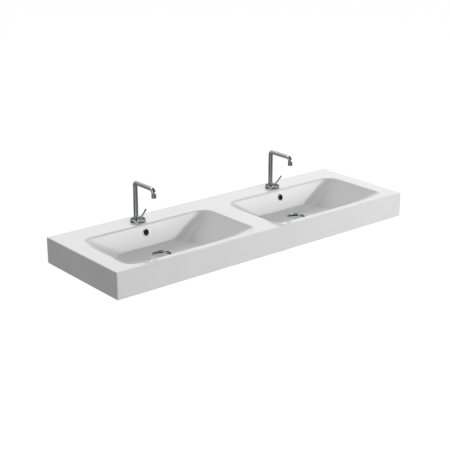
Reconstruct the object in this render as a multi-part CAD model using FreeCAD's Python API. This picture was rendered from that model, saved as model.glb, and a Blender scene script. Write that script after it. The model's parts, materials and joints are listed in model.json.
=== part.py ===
import FreeCAD, Part
import math
import os

# Double basin: a ceramic slab with two bowls, two one-hole mixer taps and two push-open wastes.
# Frame in millimetres: X runs across the width from the middle, the wall is the plane Y = 0 with the
# front at minus DEPTH, and Z is up from the row of wall bolts.

# Ceramic slab
WIDTH = 1400.0
DEPTH = 455.0
HEIGHT = 100.0
APRON_T = 13.0          # front, end and back walls of the slab
DECK_T = 15.0
ARRIS_R = 3.5           # rounding of the slab's outer edges
WEB_T = 12.0            # stiffening web under the deck, between the bowls
WEB_DROP = 45.0

# Wall fixing
BOLT_UP = 58.0          # bolt row above the slab's bottom edge
BOLT_PITCH = 280.0      # two bolts behind each bowl
BOLT_HOLE_R = 7.0

# Bowls, measured where the wall planes cross the deck
END_RIM = 65.5
MID_RIM = 91.0
FRONT_RIM = 27.5
BACK_DECK = 109.5
RIM_CORNER_R = 50.0
RIM_EDGE_R = 8.0
END_RUN = 134.5         # how far each wall leans in over the bowl's depth
FRONT_RUN = 127.5
BACK_RUN = 18.5
FLOOR_CORNER_R = 42.0
FLOOR_EDGE_R = 8.0
FLOOR_T = 12.0
SHELL_T = 14.0          # bowl shell, measured level

# Overflow: hole, ring and the duct that leads down to the waste
OVERFLOW_DOWN = 31.5    # hole centre below the deck
OVERFLOW_HOLE_R = 12.0
RING_R = 15.0
RING_BORE_R = 9.5
RING_PROUD = 2.4
RING_SLEEVE = 9.0
DUCT_W = 40.0
DUCT_GAP = 10.0
DUCT_SKIN = 7.0
DUCT_COVER = 9.0        # ceramic left between the floor's underside and the duct

# Waste: dished flange with a threaded tail, latch cartridge and plug
FLANGE_R = 36.5
FLANGE_LIP = 0.4        # flange edge above the bowl floor
FLANGE_EDGE_T = 1.3
FLANGE_T = 2.4
DISH_DEPTH = 10.0
DISH_FLARE = 2.2        # the dish is this much wider at its mouth than at its seat
TAIL_R = 20.955
TAIL_WALL = 2.5
OUTLET_LENGTH = 30.0    # thread left for the trap below the backnut
RELIEF_DEPTH = 1.2      # run-out groove between the nut's thread and the outlet's
RELIEF_H = 2.0
SLOT_W = 10.0           # overflow slots through the tail
SLOT_COUNT = 4
HUB_WALL = 2.5
HUB_H = 10.0
ARM_T = 3.0
RECESS_GAP = 0.8
WASTE_HOLE_GAP = 2.0
BOSS_WALL = 9.0
TOP_SEAL_T = 1.6
BOTTOM_SEAL_T = 4.0
BOTTOM_SEAL_NOSE = 3.0
SEAL_W = 11.0           # width of the ring-shaped seals of the waste
NUT_H = 9.0
NUT_WALL = 6.0
LATCH_R = 8.0
LATCH_UP = 4.0          # latch cartridge above its hub
LATCH_FLOOR = 5.0
CAP_GAP = 1.5           # plug cap to the foot of the dish wall
CAP_T = 3.2
CAP_BEVEL = 1.0
CAP_BOSS_R = 7.0
CAP_BOSS_H = 6.0
PLUG_SEAL_T = 1.6
PLUG_SEAL_W = 6.0
PLUG_STEM_R = 4.0
PLUG_TRAVEL = 8.0
STEM_HOLD = 14.8        # stem left in the latch when the plug is up

# Tap base and what clamps it to the deck
TAP_TO_RIM = 44.5       # tap hole centre behind the bowl's back rim
BASE_R = 30.0
BASE_H = 9.0            # top of the base above the deck
BASE_EDGE_R = 1.5
BASE_LIFT = 0.3         # shadow gap under the base's edge
GASKET_T = 1.0
GASKET_INSET = 3.0
SHANK_WALL = 0.9
SHANK_LENGTH = 52.0
TAP_HOLE_GAP = 0.5
CLAMP_W = 3.7
CLAMP_RUBBER_T = 2.5
CLAMP_PLATE_T = 2.0
TAP_NUT_H = 8.0
TAP_NUT_WALL = 2.4
INLET_R = 4.5
INLET_DEPTH = 14.0
INLET_X = 7.5

# Lever: turret that turns in the base, and the rod that lifts on a cross pin
LEVER_FRONT = 9.5       # lever axis in front of the tap's centre
TURRET_R = 7.2
TURRET_UP = 0.4         # foot of the dome above the base
DOME_H = 2.4
SPINDLE_R = 3.0
SPINDLE_H = 9.0
PIVOT_DOWN = 4.0        # cross pin below the base's top
PIN_R = 1.0
PIN_LENGTH = 13.0
EYE_R = 2.6
NECK_R = 2.0
NECK_LENGTH = 10.0
NECK_TAPER = 3.0
LEVER_R = 3.0
LEVER_LENGTH = 73.0     # cross pin to the end of the tip
LEVER_LEAN = 38.6       # degrees forward of upright
TIP_R = 3.3
TIP_LENGTH = 6.2
TIP_NOTCH = 0.8         # groove between rod and tip
TIP_CHAMFER = 1.0
STUD_R = 1.5
STUD_LENGTH = 4.0
CARTRIDGE_R = 6.5
CARTRIDGE_H = 31.0

# Spout: bent tube on a spigot that turns in the base
SPOUT_BACK = 11.5       # spout axis behind the tap's centre
TUBE_R = 9.0
TUBE_WALL = 1.5
ARM_UP = 151.0          # arm's centre line above the deck
REACH = 118.5
NOZZLE_UP = 118.0       # outlet above the deck
NOZZLE_H = 13.0
REAR_BEND_R = 11.0
FRONT_BEND_R = 16.0
SPIGOT_PLUG = 11.0
SHOULDER_H = 1.4
JOURNAL_R = 6.0
STEM_R = 4.5
STEM_LENGTH = 17.0
WATERWAY_R = 2.6
BUSH_WALL = 1.2
BUSH_H = 3.6
BUSH_FLANGE_R = 8.8
BUSH_FLANGE_T = 0.5
O_RING_R = 0.45
O_RING_DOWN = 12.0      # O-ring below the base's underside
GRUB_R = 1.5
GRUB_SINK = 1.0
GROOVE_DEPTH = 1.0
GROOVE_H = 2.4
GROOVE_UP = 1.1         # retaining groove above the journal's foot
SLEEVE_LIP = 0.2        # nozzle sleeve outside the tube
SLEEVE_WALL = 1.1
SLEEVE_SPIGOT = 4.0
SLEEVE_SPIGOT_WALL = 1.4
INSERT_H = 7.4
INSERT_SINK = 0.6
INSERT_HOLE_R = 1.5
INSERT_HOLE_RING_R = 5.0
INSERT_HOLES = 6

# Fits, radial
RUN = 0.06              # a turning or sliding pair
SNUG = 0.02             # a pin or stud in its own hole
EASY = 0.1              # pieces that only lie in one another
SEAL_GAP = 0.3          # rubber rings around a thread
FACE_GAP = 0.2          # faces that pass each other as they move

# Levels
BOTTOM_Z = -BOLT_UP
DECK_Z = BOTTOM_Z + HEIGHT
FLOOR_Z = BOTTOM_Z + FLOOR_T

# Bowl plan
RIM_W = (WIDTH - 2 * END_RIM - MID_RIM) / 2
BOWL_X = (MID_RIM + RIM_W) / 2
RIM_FRONT_Y = -DEPTH + FRONT_RIM
RIM_BACK_Y = -BACK_DECK
FLOOR_FRONT_Y = RIM_FRONT_Y + FRONT_RUN
FLOOR_BACK_Y = RIM_BACK_Y - BACK_RUN
DRAIN_Y = (FLOOR_FRONT_Y + FLOOR_BACK_Y) / 2
TAP_Y = RIM_BACK_Y + TAP_TO_RIM
BACK_SLOPE = BACK_RUN / (DECK_Z - FLOOR_Z)

# Waste heights, measured from the bowl floor
SEAT_Z = -DISH_DEPTH
FLANGE_UNDER_Z = SEAT_Z - FLANGE_T
RECESS_Z = FLANGE_UNDER_Z - TOP_SEAL_T
DUCT_TOP_Z = -FLOOR_T - DUCT_COVER
DUCT_FLOOR_Z = DUCT_TOP_Z - DUCT_GAP
BOSS_Z = DUCT_FLOOR_Z - DUCT_SKIN
NUT_TOP_Z = BOSS_Z - BOTTOM_SEAL_T
OUTLET_TOP_Z = NUT_TOP_Z - NUT_H - RELIEF_H
TAIL_Z = OUTLET_TOP_Z - OUTLET_LENGTH
HUB_TOP_Z = DUCT_TOP_Z
LATCH_TOP_Z = HUB_TOP_Z + LATCH_UP
LATCH_H = LATCH_FLOOR + FACE_GAP + PLUG_TRAVEL + STEM_HOLD
CAP_UNDER_Z = SEAT_Z + FACE_GAP + PLUG_SEAL_T
STEM_FOOT_Z = LATCH_TOP_Z - PLUG_TRAVEL - STEM_HOLD

# Waste radii
DISH_SEAT_R = FLANGE_R - FLANGE_EDGE_T - DISH_FLARE
RECESS_R = FLANGE_R + RECESS_GAP
TAIL_BORE_R = TAIL_R - TAIL_WALL
WASTE_HOLE_R = TAIL_R + WASTE_HOLE_GAP
BOSS_R = RECESS_R + BOSS_WALL
CAP_R = DISH_SEAT_R - CAP_GAP

# Tap radii and heights, measured from the deck
STEM_BORE_R = STEM_R + EASY
CARTRIDGE_BORE_R = CARTRIDGE_R + EASY
SHANK_R = max(SPOUT_BACK + STEM_BORE_R, LEVER_FRONT + CARTRIDGE_BORE_R) + SHANK_WALL
TAP_HOLE_R = SHANK_R + TAP_HOLE_GAP
CLAMP_BORE_R = SHANK_R + SEAL_GAP
CLAMP_R = CLAMP_BORE_R + CLAMP_W
PIVOT_Z = BASE_H - PIVOT_DOWN
BUSH_BORE_R = JOURNAL_R + RUN
BUSH_R = BUSH_BORE_R + BUSH_WALL
TUBE_BORE_R = TUBE_R - TUBE_WALL
SHOULDER_Z = BASE_H + BUSH_FLANGE_T + FACE_GAP
TUBE_FOOT_Z = SHOULDER_Z + SHOULDER_H
JOURNAL_FOOT_Z = GASKET_T + FACE_GAP
GROOVE_Z = JOURNAL_FOOT_Z + GROOVE_UP
O_RING_Z = GASKET_T - O_RING_DOWN
NOZZLE_TOP_Z = NOZZLE_UP + NOZZLE_H

X_AXIS = FreeCAD.Vector(1, 0, 0)
Y_AXIS = FreeCAD.Vector(0, 1, 0)
Z_AXIS = FreeCAD.Vector(0, 0, 1)
ORIGIN = FreeCAD.Vector(0, 0, 0)


def vec(x, y, z):
    return FreeCAD.Vector(x, y, z)


def box(x0, x1, y0, y1, z0, z1):
    return Part.makeBox(x1 - x0, y1 - y0, z1 - z0, vec(x0, y0, z0))


def rod(r, z0, z1, x=0.0, y=0.0):
    return Part.makeCylinder(r, z1 - z0, vec(x, y, z0))


def ring(r_out, r_in, z0, z1):
    return rod(r_out, z0, z1).cut(rod(r_in, z0, z1))


def turned(profile):
    """Solid of revolution about Z from (radius, z) points."""
    points = [vec(r, 0, z) for r, z in profile]
    face = Part.Face(Part.makePolygon(points + points[:1]))
    return face.revolve(ORIGIN, Z_AXIS, 360)


def prism(outline, width):
    """Solid from a (y, z) outline, centred on X = 0."""
    points = [vec(-width / 2, y, z) for y, z in outline]
    face = Part.Face(Part.makePolygon(points + points[:1]))
    return face.extrude(vec(width, 0, 0))


def hex_nut(wall, bore_r, z0, z1):
    """Hexagon nut whose flats stand off the bore by the wall."""
    corner_r = (bore_r + wall) / math.cos(math.pi / 6)
    corners = [vec(corner_r * math.cos(i * math.pi / 3), corner_r * math.sin(i * math.pi / 3), z0)
               for i in range(6)]
    face = Part.Face(Part.makePolygon(corners + corners[:1]))
    return face.extrude(vec(0, 0, z1 - z0)).cut(rod(bore_r, z0, z1))


def moved(shape, x, y, z):
    shape = shape.copy()
    shape.translate(vec(x, y, z))
    return shape


def edges_at(shape, z):
    """Edges that lie wholly in the level z."""
    level = 1e-4
    return [e for e in shape.Edges
            if abs(e.BoundBox.ZMin - z) < level and abs(e.BoundBox.ZMax - z) < level]


def rounded_outline(x0, x1, y0, y1, r, z):
    """Closed wire of a rounded rectangle in the level z."""
    edges = []
    corners = [(x1 - r, y0 + r, -90), (x1 - r, y1 - r, 0), (x0 + r, y1 - r, 90), (x0 + r, y0 + r, 180)]
    ends = []
    for cx, cy, start in corners:
        arc = [vec(cx + r * math.cos(math.radians(a)), cy + r * math.sin(math.radians(a)), z)
               for a in (start, start + 45, start + 90)]
        ends.append(arc)
    for i, arc in enumerate(ends):
        edges.append(Part.Arc(*arc).toShape())
        edges.append(Part.LineSegment(arc[2], ends[(i + 1) % len(ends)][0]).toShape())
    return Part.Wire(edges)


def bowl_form(bowl_x, grow, floor_z):
    """Ruled solid between the rim and floor outlines, grown level by an amount."""
    rim_half = RIM_W / 2 + grow
    floor_half = RIM_W / 2 - END_RUN + grow
    rim = rounded_outline(bowl_x - rim_half, bowl_x + rim_half, RIM_FRONT_Y - grow, RIM_BACK_Y + grow,
                          RIM_CORNER_R + grow, DECK_Z)
    floor = rounded_outline(bowl_x - floor_half, bowl_x + floor_half, FLOOR_FRONT_Y - grow,
                            FLOOR_BACK_Y + grow, FLOOR_CORNER_R + grow, floor_z)
    return Part.makeLoft([floor, rim], True, True)


def back_wall_y(z):
    """Inner face of a bowl's back wall at the level z."""
    return FLOOR_BACK_Y + (z - FLOOR_Z) * BACK_SLOPE


def slab():
    """Outer block with rounded arrises, bowls sunk in and their rims rounded."""
    block = box(-WIDTH / 2, WIDTH / 2, -DEPTH, 0, BOTTOM_Z, DECK_Z)
    rounded = [e for e in block.Edges if e.BoundBox.ZMax > DECK_Z - ARRIS_R]
    block = block.makeFillet(ARRIS_R, rounded)
    rims = []
    for bowl_x in (-BOWL_X, BOWL_X):
        bowl = bowl_form(bowl_x, 0.0, FLOOR_Z)
        bowl = bowl.makeFillet(FLOOR_EDGE_R, edges_at(bowl, FLOOR_Z))
        block = block.cut(bowl)
    for edge in edges_at(block, DECK_Z):
        inside_x = abs(edge.CenterOfMass.x) < WIDTH / 2 - END_RIM / 2
        inside_y = -DEPTH + FRONT_RIM / 2 < edge.CenterOfMass.y < -BACK_DECK / 2
        if inside_x and inside_y:
            rims.append(edge)
    return block.makeFillet(RIM_EDGE_R, rims)


def hollow():
    """Open space under the deck, around the bowl shells and the web."""
    space = box(-WIDTH / 2 + APRON_T, WIDTH / 2 - APRON_T, -DEPTH + APRON_T, -APRON_T,
                BOTTOM_Z, DECK_Z - DECK_T)
    for bowl_x in (-BOWL_X, BOWL_X):
        space = space.cut(bowl_form(bowl_x, SHELL_T, BOTTOM_Z))
    web = box(-WEB_T / 2, WEB_T / 2, -DEPTH, 0, DECK_Z - DECK_T - WEB_DROP, DECK_Z)
    return space.cut(web)


def duct_outline(inner, outer, top_z, roof_z, foot_z):
    """Side view of the duct: down behind the back wall, then forward to the waste."""
    return [(back_wall_y(top_z) + inner, top_z), (back_wall_y(top_z) + outer, top_z),
            (back_wall_y(foot_z) + outer, foot_z), (DRAIN_Y, foot_z),
            (DRAIN_Y, roof_z), (back_wall_y(roof_z) + inner, roof_z)]


def overflow_axis_turn():
    """Degrees about X that lay a Z axis square to the back wall."""
    return 90 - math.degrees(math.atan(BACK_SLOPE))


def on_back_wall(shape):
    """Puts a piece made about Z square on the back wall at the overflow."""
    z = DECK_Z - OVERFLOW_DOWN
    shape = shape.copy()
    shape.rotate(ORIGIN, X_AXIS, overflow_axis_turn())
    return moved(shape, 0, back_wall_y(z), z)


def basin_body():
    body = slab().cut(hollow())
    overflow_z = DECK_Z - OVERFLOW_DOWN
    duct_top = overflow_z + OVERFLOW_HOLE_R
    inner = DUCT_SKIN
    outer = DUCT_SKIN + DUCT_GAP
    housing = prism(duct_outline(inner, outer + DUCT_SKIN, DECK_Z - DECK_T, BOTTOM_Z,
                                 FLOOR_Z + BOSS_Z), DUCT_W + 2 * DUCT_SKIN)
    void = prism(duct_outline(inner, outer, duct_top, FLOOR_Z + DUCT_TOP_Z,
                              FLOOR_Z + DUCT_FLOOR_Z), DUCT_W)
    boss = moved(rod(BOSS_R, BOSS_Z, -FLOOR_T), 0, DRAIN_Y, FLOOR_Z)
    waste_hole = rod(RECESS_R, RECESS_Z, 0).fuse(rod(WASTE_HOLE_R, BOSS_Z, 0))
    waste_hole = moved(waste_hole, 0, DRAIN_Y, FLOOR_Z)
    overflow_hole = on_back_wall(rod(OVERFLOW_HOLE_R, -outer, OVERFLOW_HOLE_R))
    tap_hole = rod(TAP_HOLE_R, DECK_Z - DECK_T, DECK_Z, 0, TAP_Y)
    bolt_hole = Part.makeCylinder(BOLT_HOLE_R, APRON_T, vec(0, -APRON_T, 0), Y_AXIS)
    for bowl_x in (-BOWL_X, BOWL_X):
        body = body.fuse(moved(housing, bowl_x, 0, 0)).fuse(moved(boss, bowl_x, 0, 0))
        for tool in (void, waste_hole, overflow_hole, tap_hole):
            body = body.cut(moved(tool, bowl_x, 0, 0))
        for side in (-1, 1):
            body = body.cut(moved(bolt_hole, bowl_x + side * BOLT_PITCH / 2, 0, 0))
    return body.removeSplitter()


def overflow_ring():
    face_r = (RING_R + RING_BORE_R) / 2
    sleeve_r = OVERFLOW_HOLE_R - EASY
    profile = [(RING_BORE_R, -RING_SLEEVE), (sleeve_r, -RING_SLEEVE), (sleeve_r, 0), (RING_R, 0),
               (RING_R, RING_PROUD / 2), (face_r, RING_PROUD), (RING_BORE_R, RING_PROUD / 2)]
    return on_back_wall(turned(profile))


def waste_body():
    """Dished flange, threaded tail with overflow slots, and a hub on arms for the latch."""
    mouth_r = FLANGE_R - FLANGE_EDGE_T
    relief_r = TAIL_R - RELIEF_DEPTH
    profile = [(TAIL_BORE_R, TAIL_Z), (TAIL_R, TAIL_Z), (TAIL_R, OUTLET_TOP_Z),
               (relief_r, OUTLET_TOP_Z), (relief_r, OUTLET_TOP_Z + RELIEF_H),
               (TAIL_R, OUTLET_TOP_Z + RELIEF_H), (TAIL_R, FLANGE_UNDER_Z),
               (DISH_SEAT_R + FLANGE_EDGE_T, FLANGE_UNDER_Z), (FLANGE_R, -FLANGE_T),
               (FLANGE_R, FLANGE_LIP), (mouth_r, FLANGE_LIP), (DISH_SEAT_R, SEAT_Z),
               (TAIL_BORE_R, SEAT_Z)]
    body = turned(profile)
    hub_r = LATCH_R + SNUG + HUB_WALL
    body = body.fuse(rod(hub_r, HUB_TOP_Z - HUB_H, HUB_TOP_Z))
    reach = TAIL_R - TAIL_WALL / 2
    for i in range(SLOT_COUNT):
        turn = i * 360.0 / SLOT_COUNT
        arm = box(0, reach, -ARM_T / 2, ARM_T / 2, HUB_TOP_Z - HUB_H, HUB_TOP_Z)
        slot = box(hub_r, TAIL_R + TAIL_WALL, -SLOT_W / 2, SLOT_W / 2, DUCT_FLOOR_Z, DUCT_TOP_Z)
        arm.rotate(ORIGIN, Z_AXIS, turn + 180.0 / SLOT_COUNT)
        slot.rotate(ORIGIN, Z_AXIS, turn)
        body = body.fuse(arm).cut(slot)
    return body.cut(rod(LATCH_R + SNUG, HUB_TOP_Z - HUB_H, HUB_TOP_Z)).removeSplitter()


def waste_top_seal():
    bore_r = TAIL_R + SEAL_GAP
    return ring(bore_r + SEAL_W, bore_r, RECESS_Z, FLANGE_UNDER_Z)


def waste_bottom_seal():
    bore_r = TAIL_R + SEAL_GAP
    nose_r = WASTE_HOLE_R - SEAL_GAP
    nose_z = BOSS_Z + BOTTOM_SEAL_NOSE
    return turned([(bore_r, NUT_TOP_Z), (bore_r + SEAL_W, NUT_TOP_Z), (bore_r + SEAL_W, BOSS_Z),
                   (nose_r, BOSS_Z), (nose_r, nose_z), (bore_r, nose_z)])


def waste_backnut():
    return hex_nut(NUT_WALL, TAIL_R + EASY, NUT_TOP_Z - NUT_H, NUT_TOP_Z)


def latch_cartridge():
    bore_r = PLUG_STEM_R + RUN
    foot_z = LATCH_TOP_Z - LATCH_H
    return rod(LATCH_R, foot_z, LATCH_TOP_Z).cut(rod(bore_r, foot_z + LATCH_FLOOR, LATCH_TOP_Z))


def plug_cap():
    top_z = CAP_UNDER_Z + CAP_T
    boss_z = CAP_UNDER_Z - CAP_BOSS_H
    bore_r = PLUG_STEM_R + SNUG
    return turned([(0, CAP_UNDER_Z), (bore_r, CAP_UNDER_Z), (bore_r, boss_z), (CAP_BOSS_R, boss_z),
                   (CAP_BOSS_R, CAP_UNDER_Z), (CAP_R, CAP_UNDER_Z), (CAP_R, top_z - CAP_BEVEL),
                   (CAP_R - CAP_BEVEL, top_z), (0, top_z)])


def plug_seal():
    outer_r = CAP_R - CAP_GAP
    return ring(outer_r, outer_r - PLUG_SEAL_W, CAP_UNDER_Z - PLUG_SEAL_T, CAP_UNDER_Z)


def plug_stem():
    return rod(PLUG_STEM_R, STEM_FOOT_Z, CAP_UNDER_Z)


def tap_base():
    """Round base, bored for the spout's journal and bush and for the lever's turret."""
    base = rod(BASE_R, BASE_LIFT, BASE_H)
    base = base.makeFillet(BASE_EDGE_R, edges_at(base, BASE_H))
    base = base.cut(rod(BASE_R - GASKET_INSET + SEAL_GAP, BASE_LIFT, GASKET_T))
    base = base.cut(rod(BUSH_R, BASE_H - BUSH_H, BASE_H, 0, SPOUT_BACK))
    base = base.cut(rod(JOURNAL_R + SEAL_GAP, BASE_LIFT, BASE_H, 0, SPOUT_BACK))
    base = base.cut(rod(TURRET_R + RUN, BASE_LIFT, BASE_H, 0, -LEVER_FRONT))
    grub_z = GROOVE_Z + GROOVE_H / 2
    grub_hole = Part.makeCylinder(GRUB_R + SNUG, BASE_R, vec(0, SPOUT_BACK, grub_z), Y_AXIS)
    return base.cut(grub_hole)


def spout_grub_screw():
    """Grub screw from behind, whose dog point runs in the journal's groove."""
    tip = SPOUT_BACK + JOURNAL_R - GROOVE_DEPTH + SEAL_GAP
    shoulder = SPOUT_BACK + JOURNAL_R + SEAL_GAP
    head = BASE_R - GRUB_SINK
    dog_r = GROOVE_H / 2 - FACE_GAP
    screw = turned([(0, tip), (dog_r, tip), (dog_r, shoulder), (GRUB_R, shoulder), (GRUB_R, head),
                    (0, head)])
    screw.rotate(ORIGIN, X_AXIS, -90)
    return moved(screw, 0, 0, GROOVE_Z + GROOVE_H / 2)


def tap_gasket():
    return ring(BASE_R - GASKET_INSET, SHANK_R + SEAL_GAP, 0, GASKET_T)


def tap_shank():
    """Threaded shank with the waterway, the cartridge's bore and the two inlets."""
    foot_z = GASKET_T - SHANK_LENGTH
    shank = rod(SHANK_R, foot_z, GASKET_T)
    shank = shank.cut(rod(STEM_BORE_R, GASKET_T - STEM_LENGTH - EASY, GASKET_T, 0, SPOUT_BACK))
    shank = shank.cut(rod(CARTRIDGE_BORE_R, GASKET_T - CARTRIDGE_H, GASKET_T, 0, -LEVER_FRONT))
    for side in (-1, 1):
        shank = shank.cut(rod(INLET_R, foot_z, foot_z + INLET_DEPTH, side * INLET_X, 0))
    return shank


def tap_clamp_washer():
    return ring(CLAMP_R, CLAMP_BORE_R, -DECK_T - CLAMP_RUBBER_T, -DECK_T)


def tap_clamp_plate():
    top_z = -DECK_T - CLAMP_RUBBER_T
    return ring(CLAMP_R, CLAMP_BORE_R, top_z - CLAMP_PLATE_T, top_z)


def tap_backnut():
    top_z = -DECK_T - CLAMP_RUBBER_T - CLAMP_PLATE_T
    return hex_nut(TAP_NUT_WALL, SHANK_R + EASY, top_z - TAP_NUT_H, top_z)


def mixing_cartridge():
    body = rod(CARTRIDGE_R, GASKET_T - CARTRIDGE_H, GASKET_T)
    body = body.cut(rod(SPINDLE_R + RUN, GASKET_T - SPINDLE_H - FACE_GAP, GASKET_T))
    return moved(body, 0, -LEVER_FRONT, 0)


def lever_turret():
    """Domed turret with a slot for the lever and a spindle that drives the cartridge."""
    foot_z = GASKET_T + FACE_GAP
    dome_z = BASE_H + TURRET_UP
    top_z = dome_z + DOME_H
    dome_r = (TURRET_R ** 2 + DOME_H ** 2) / (2 * DOME_H)
    dome = Part.makeSphere(dome_r, vec(0, 0, top_z - dome_r)).common(rod(TURRET_R, dome_z, top_z))
    turret = rod(TURRET_R, foot_z, dome_z).fuse(dome)
    turret = turret.fuse(rod(SPINDLE_R, GASKET_T - SPINDLE_H, foot_z))
    slot_half = NECK_R + SEAL_GAP
    slot = box(-slot_half, slot_half, -2 * TURRET_R, EYE_R + SEAL_GAP, PIVOT_Z - EYE_R - SEAL_GAP, top_z)
    turret = turret.cut(slot).cut(cross_rod(PIN_R + SNUG, 2 * TURRET_R))
    return moved(turret.removeSplitter(), 0, -LEVER_FRONT, 0)


def cross_rod(r, length):
    """Rod along X through the lever's pivot, before the lever is set forward."""
    return Part.makeCylinder(r, length, vec(-length / 2, 0, PIVOT_Z), X_AXIS)


def lever_pin():
    return moved(cross_rod(PIN_R, PIN_LENGTH), 0, -LEVER_FRONT, 0)


def leaned(shape):
    """Leans a lever piece made upright on the pivot forward, and sets it in place."""
    shape = shape.copy()
    shape.rotate(ORIGIN, X_AXIS, LEVER_LEAN)
    return moved(shape, 0, -LEVER_FRONT, PIVOT_Z)


def lever_rod():
    rod_end = LEVER_LENGTH - TIP_LENGTH - TIP_NOTCH
    shoulder = NECK_LENGTH + NECK_TAPER
    rod_shape = turned([(0, 0), (NECK_R, 0), (NECK_R, NECK_LENGTH), (LEVER_R, shoulder),
                        (LEVER_R, rod_end), (STUD_R, rod_end), (STUD_R, rod_end + STUD_LENGTH),
                        (0, rod_end + STUD_LENGTH)])
    eye = Part.makeCylinder(EYE_R, 2 * NECK_R, vec(-NECK_R, 0, 0), X_AXIS)
    pin_hole = Part.makeCylinder(PIN_R + RUN, 2 * EYE_R, vec(-EYE_R, 0, 0), X_AXIS)
    return leaned(rod_shape.fuse(eye).cut(pin_hole).removeSplitter())


def lever_tip():
    foot = LEVER_LENGTH - TIP_LENGTH
    tip = turned([(0, foot), (TIP_R, foot), (TIP_R, LEVER_LENGTH - TIP_CHAMFER),
                  (TIP_R - TIP_CHAMFER, LEVER_LENGTH), (0, LEVER_LENGTH)])
    stud_hole = rod(STUD_R + SNUG, foot, foot - TIP_NOTCH + STUD_LENGTH + FACE_GAP)
    return leaned(tip.cut(stud_hole))


def spout_path():
    """Centre line of the spout: up, forward in a tight bend, and down to the nozzle."""
    back_y = SPOUT_BACK
    front_y = SPOUT_BACK - REACH
    mid = 1 - math.sqrt(0.5)
    foot = vec(0, back_y, TUBE_FOOT_Z)
    rise_end = vec(0, back_y, ARM_UP - REAR_BEND_R)
    rear_mid = vec(0, back_y - REAR_BEND_R * mid, ARM_UP - REAR_BEND_R * mid)
    arm_start = vec(0, back_y - REAR_BEND_R, ARM_UP)
    arm_end = vec(0, front_y + FRONT_BEND_R, ARM_UP)
    front_mid = vec(0, front_y + FRONT_BEND_R * mid, ARM_UP - FRONT_BEND_R * mid)
    drop_start = vec(0, front_y, ARM_UP - FRONT_BEND_R)
    drop_end = vec(0, front_y, NOZZLE_TOP_Z)
    return Part.Wire([Part.LineSegment(foot, rise_end).toShape(),
                      Part.Arc(rise_end, rear_mid, arm_start).toShape(),
                      Part.LineSegment(arm_start, arm_end).toShape(),
                      Part.Arc(arm_end, front_mid, drop_start).toShape(),
                      Part.LineSegment(drop_start, drop_end).toShape()])


def spout_tube():
    path = spout_path()
    foot = vec(0, SPOUT_BACK, TUBE_FOOT_Z)
    skins = []
    for r in (TUBE_R, TUBE_BORE_R):
        section = Part.Wire([Part.makeCircle(r, foot, Z_AXIS)])
        skins.append(path.makePipeShell([section], True, False))
    return skins[0].cut(skins[1])


def spout_spigot():
    """Plug for the tube, shoulder, journal with retaining groove, and sealed stem."""
    plug_r = TUBE_BORE_R - EASY
    plug_top = TUBE_FOOT_Z + SPIGOT_PLUG
    groove_r = JOURNAL_R - GROOVE_DEPTH
    ring_floor_r = STEM_R - 2 * O_RING_R
    ring_low = O_RING_Z - O_RING_R - EASY
    ring_high = O_RING_Z + O_RING_R + EASY
    stem_z = GASKET_T - STEM_LENGTH
    profile = [(WATERWAY_R, stem_z), (STEM_R, stem_z), (STEM_R, ring_low), (ring_floor_r, ring_low),
               (ring_floor_r, ring_high), (STEM_R, ring_high), (STEM_R, JOURNAL_FOOT_Z),
               (JOURNAL_R, JOURNAL_FOOT_Z), (JOURNAL_R, GROOVE_Z), (groove_r, GROOVE_Z),
               (groove_r, GROOVE_Z + GROOVE_H), (JOURNAL_R, GROOVE_Z + GROOVE_H),
               (JOURNAL_R, SHOULDER_Z), (TUBE_R, SHOULDER_Z), (TUBE_R, TUBE_FOOT_Z),
               (plug_r, TUBE_FOOT_Z), (plug_r, plug_top), (WATERWAY_R, plug_top)]
    return moved(turned(profile), 0, SPOUT_BACK, 0)


def spout_o_ring():
    """O-ring with an eight-sided section, level sides against the stem and the bore."""
    middle_r = STEM_R - O_RING_R + SNUG
    corner_r = O_RING_R / math.cos(math.pi / 8)
    turns = [(i + 0.5) * math.pi / 4 for i in range(8)]
    o_ring = turned([(middle_r + corner_r * math.cos(t), corner_r * math.sin(t)) for t in turns])
    return moved(o_ring, 0, SPOUT_BACK, O_RING_Z)


def spout_bush():
    top_z = BASE_H + BUSH_FLANGE_T
    bush = turned([(BUSH_BORE_R, BASE_H - BUSH_H), (BUSH_R, BASE_H - BUSH_H), (BUSH_R, BASE_H),
                   (BUSH_FLANGE_R, BASE_H), (BUSH_FLANGE_R, top_z), (BUSH_BORE_R, top_z)])
    return moved(bush, 0, SPOUT_BACK, 0)


def aerator_sleeve():
    sleeve_r = TUBE_R + SLEEVE_LIP
    bore_r = sleeve_r - SLEEVE_WALL
    spigot_r = TUBE_BORE_R - EASY
    neck_r = spigot_r - SLEEVE_SPIGOT_WALL
    shelf_z = NOZZLE_UP + INSERT_SINK + INSERT_H
    top_z = NOZZLE_TOP_Z + SLEEVE_SPIGOT
    sleeve = turned([(bore_r, NOZZLE_UP), (sleeve_r, NOZZLE_UP), (sleeve_r, NOZZLE_TOP_Z),
                     (spigot_r, NOZZLE_TOP_Z), (spigot_r, top_z), (neck_r, top_z),
                     (neck_r, shelf_z), (bore_r, shelf_z)])
    return moved(sleeve, 0, SPOUT_BACK - REACH, 0)


def aerator_insert():
    insert_r = TUBE_R + SLEEVE_LIP - SLEEVE_WALL - EASY
    foot_z = NOZZLE_UP + INSERT_SINK
    insert = rod(insert_r, foot_z, foot_z + INSERT_H)
    places = [(0.0, 0.0)]
    for i in range(INSERT_HOLES):
        turn = 2 * math.pi * i / INSERT_HOLES
        places.append((INSERT_HOLE_RING_R * math.cos(turn), INSERT_HOLE_RING_R * math.sin(turn)))
    for x, y in places:
        insert = insert.cut(rod(INSERT_HOLE_R, foot_z, foot_z + INSERT_H, x, y))
    return moved(insert, 0, SPOUT_BACK - REACH, 0)


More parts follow.
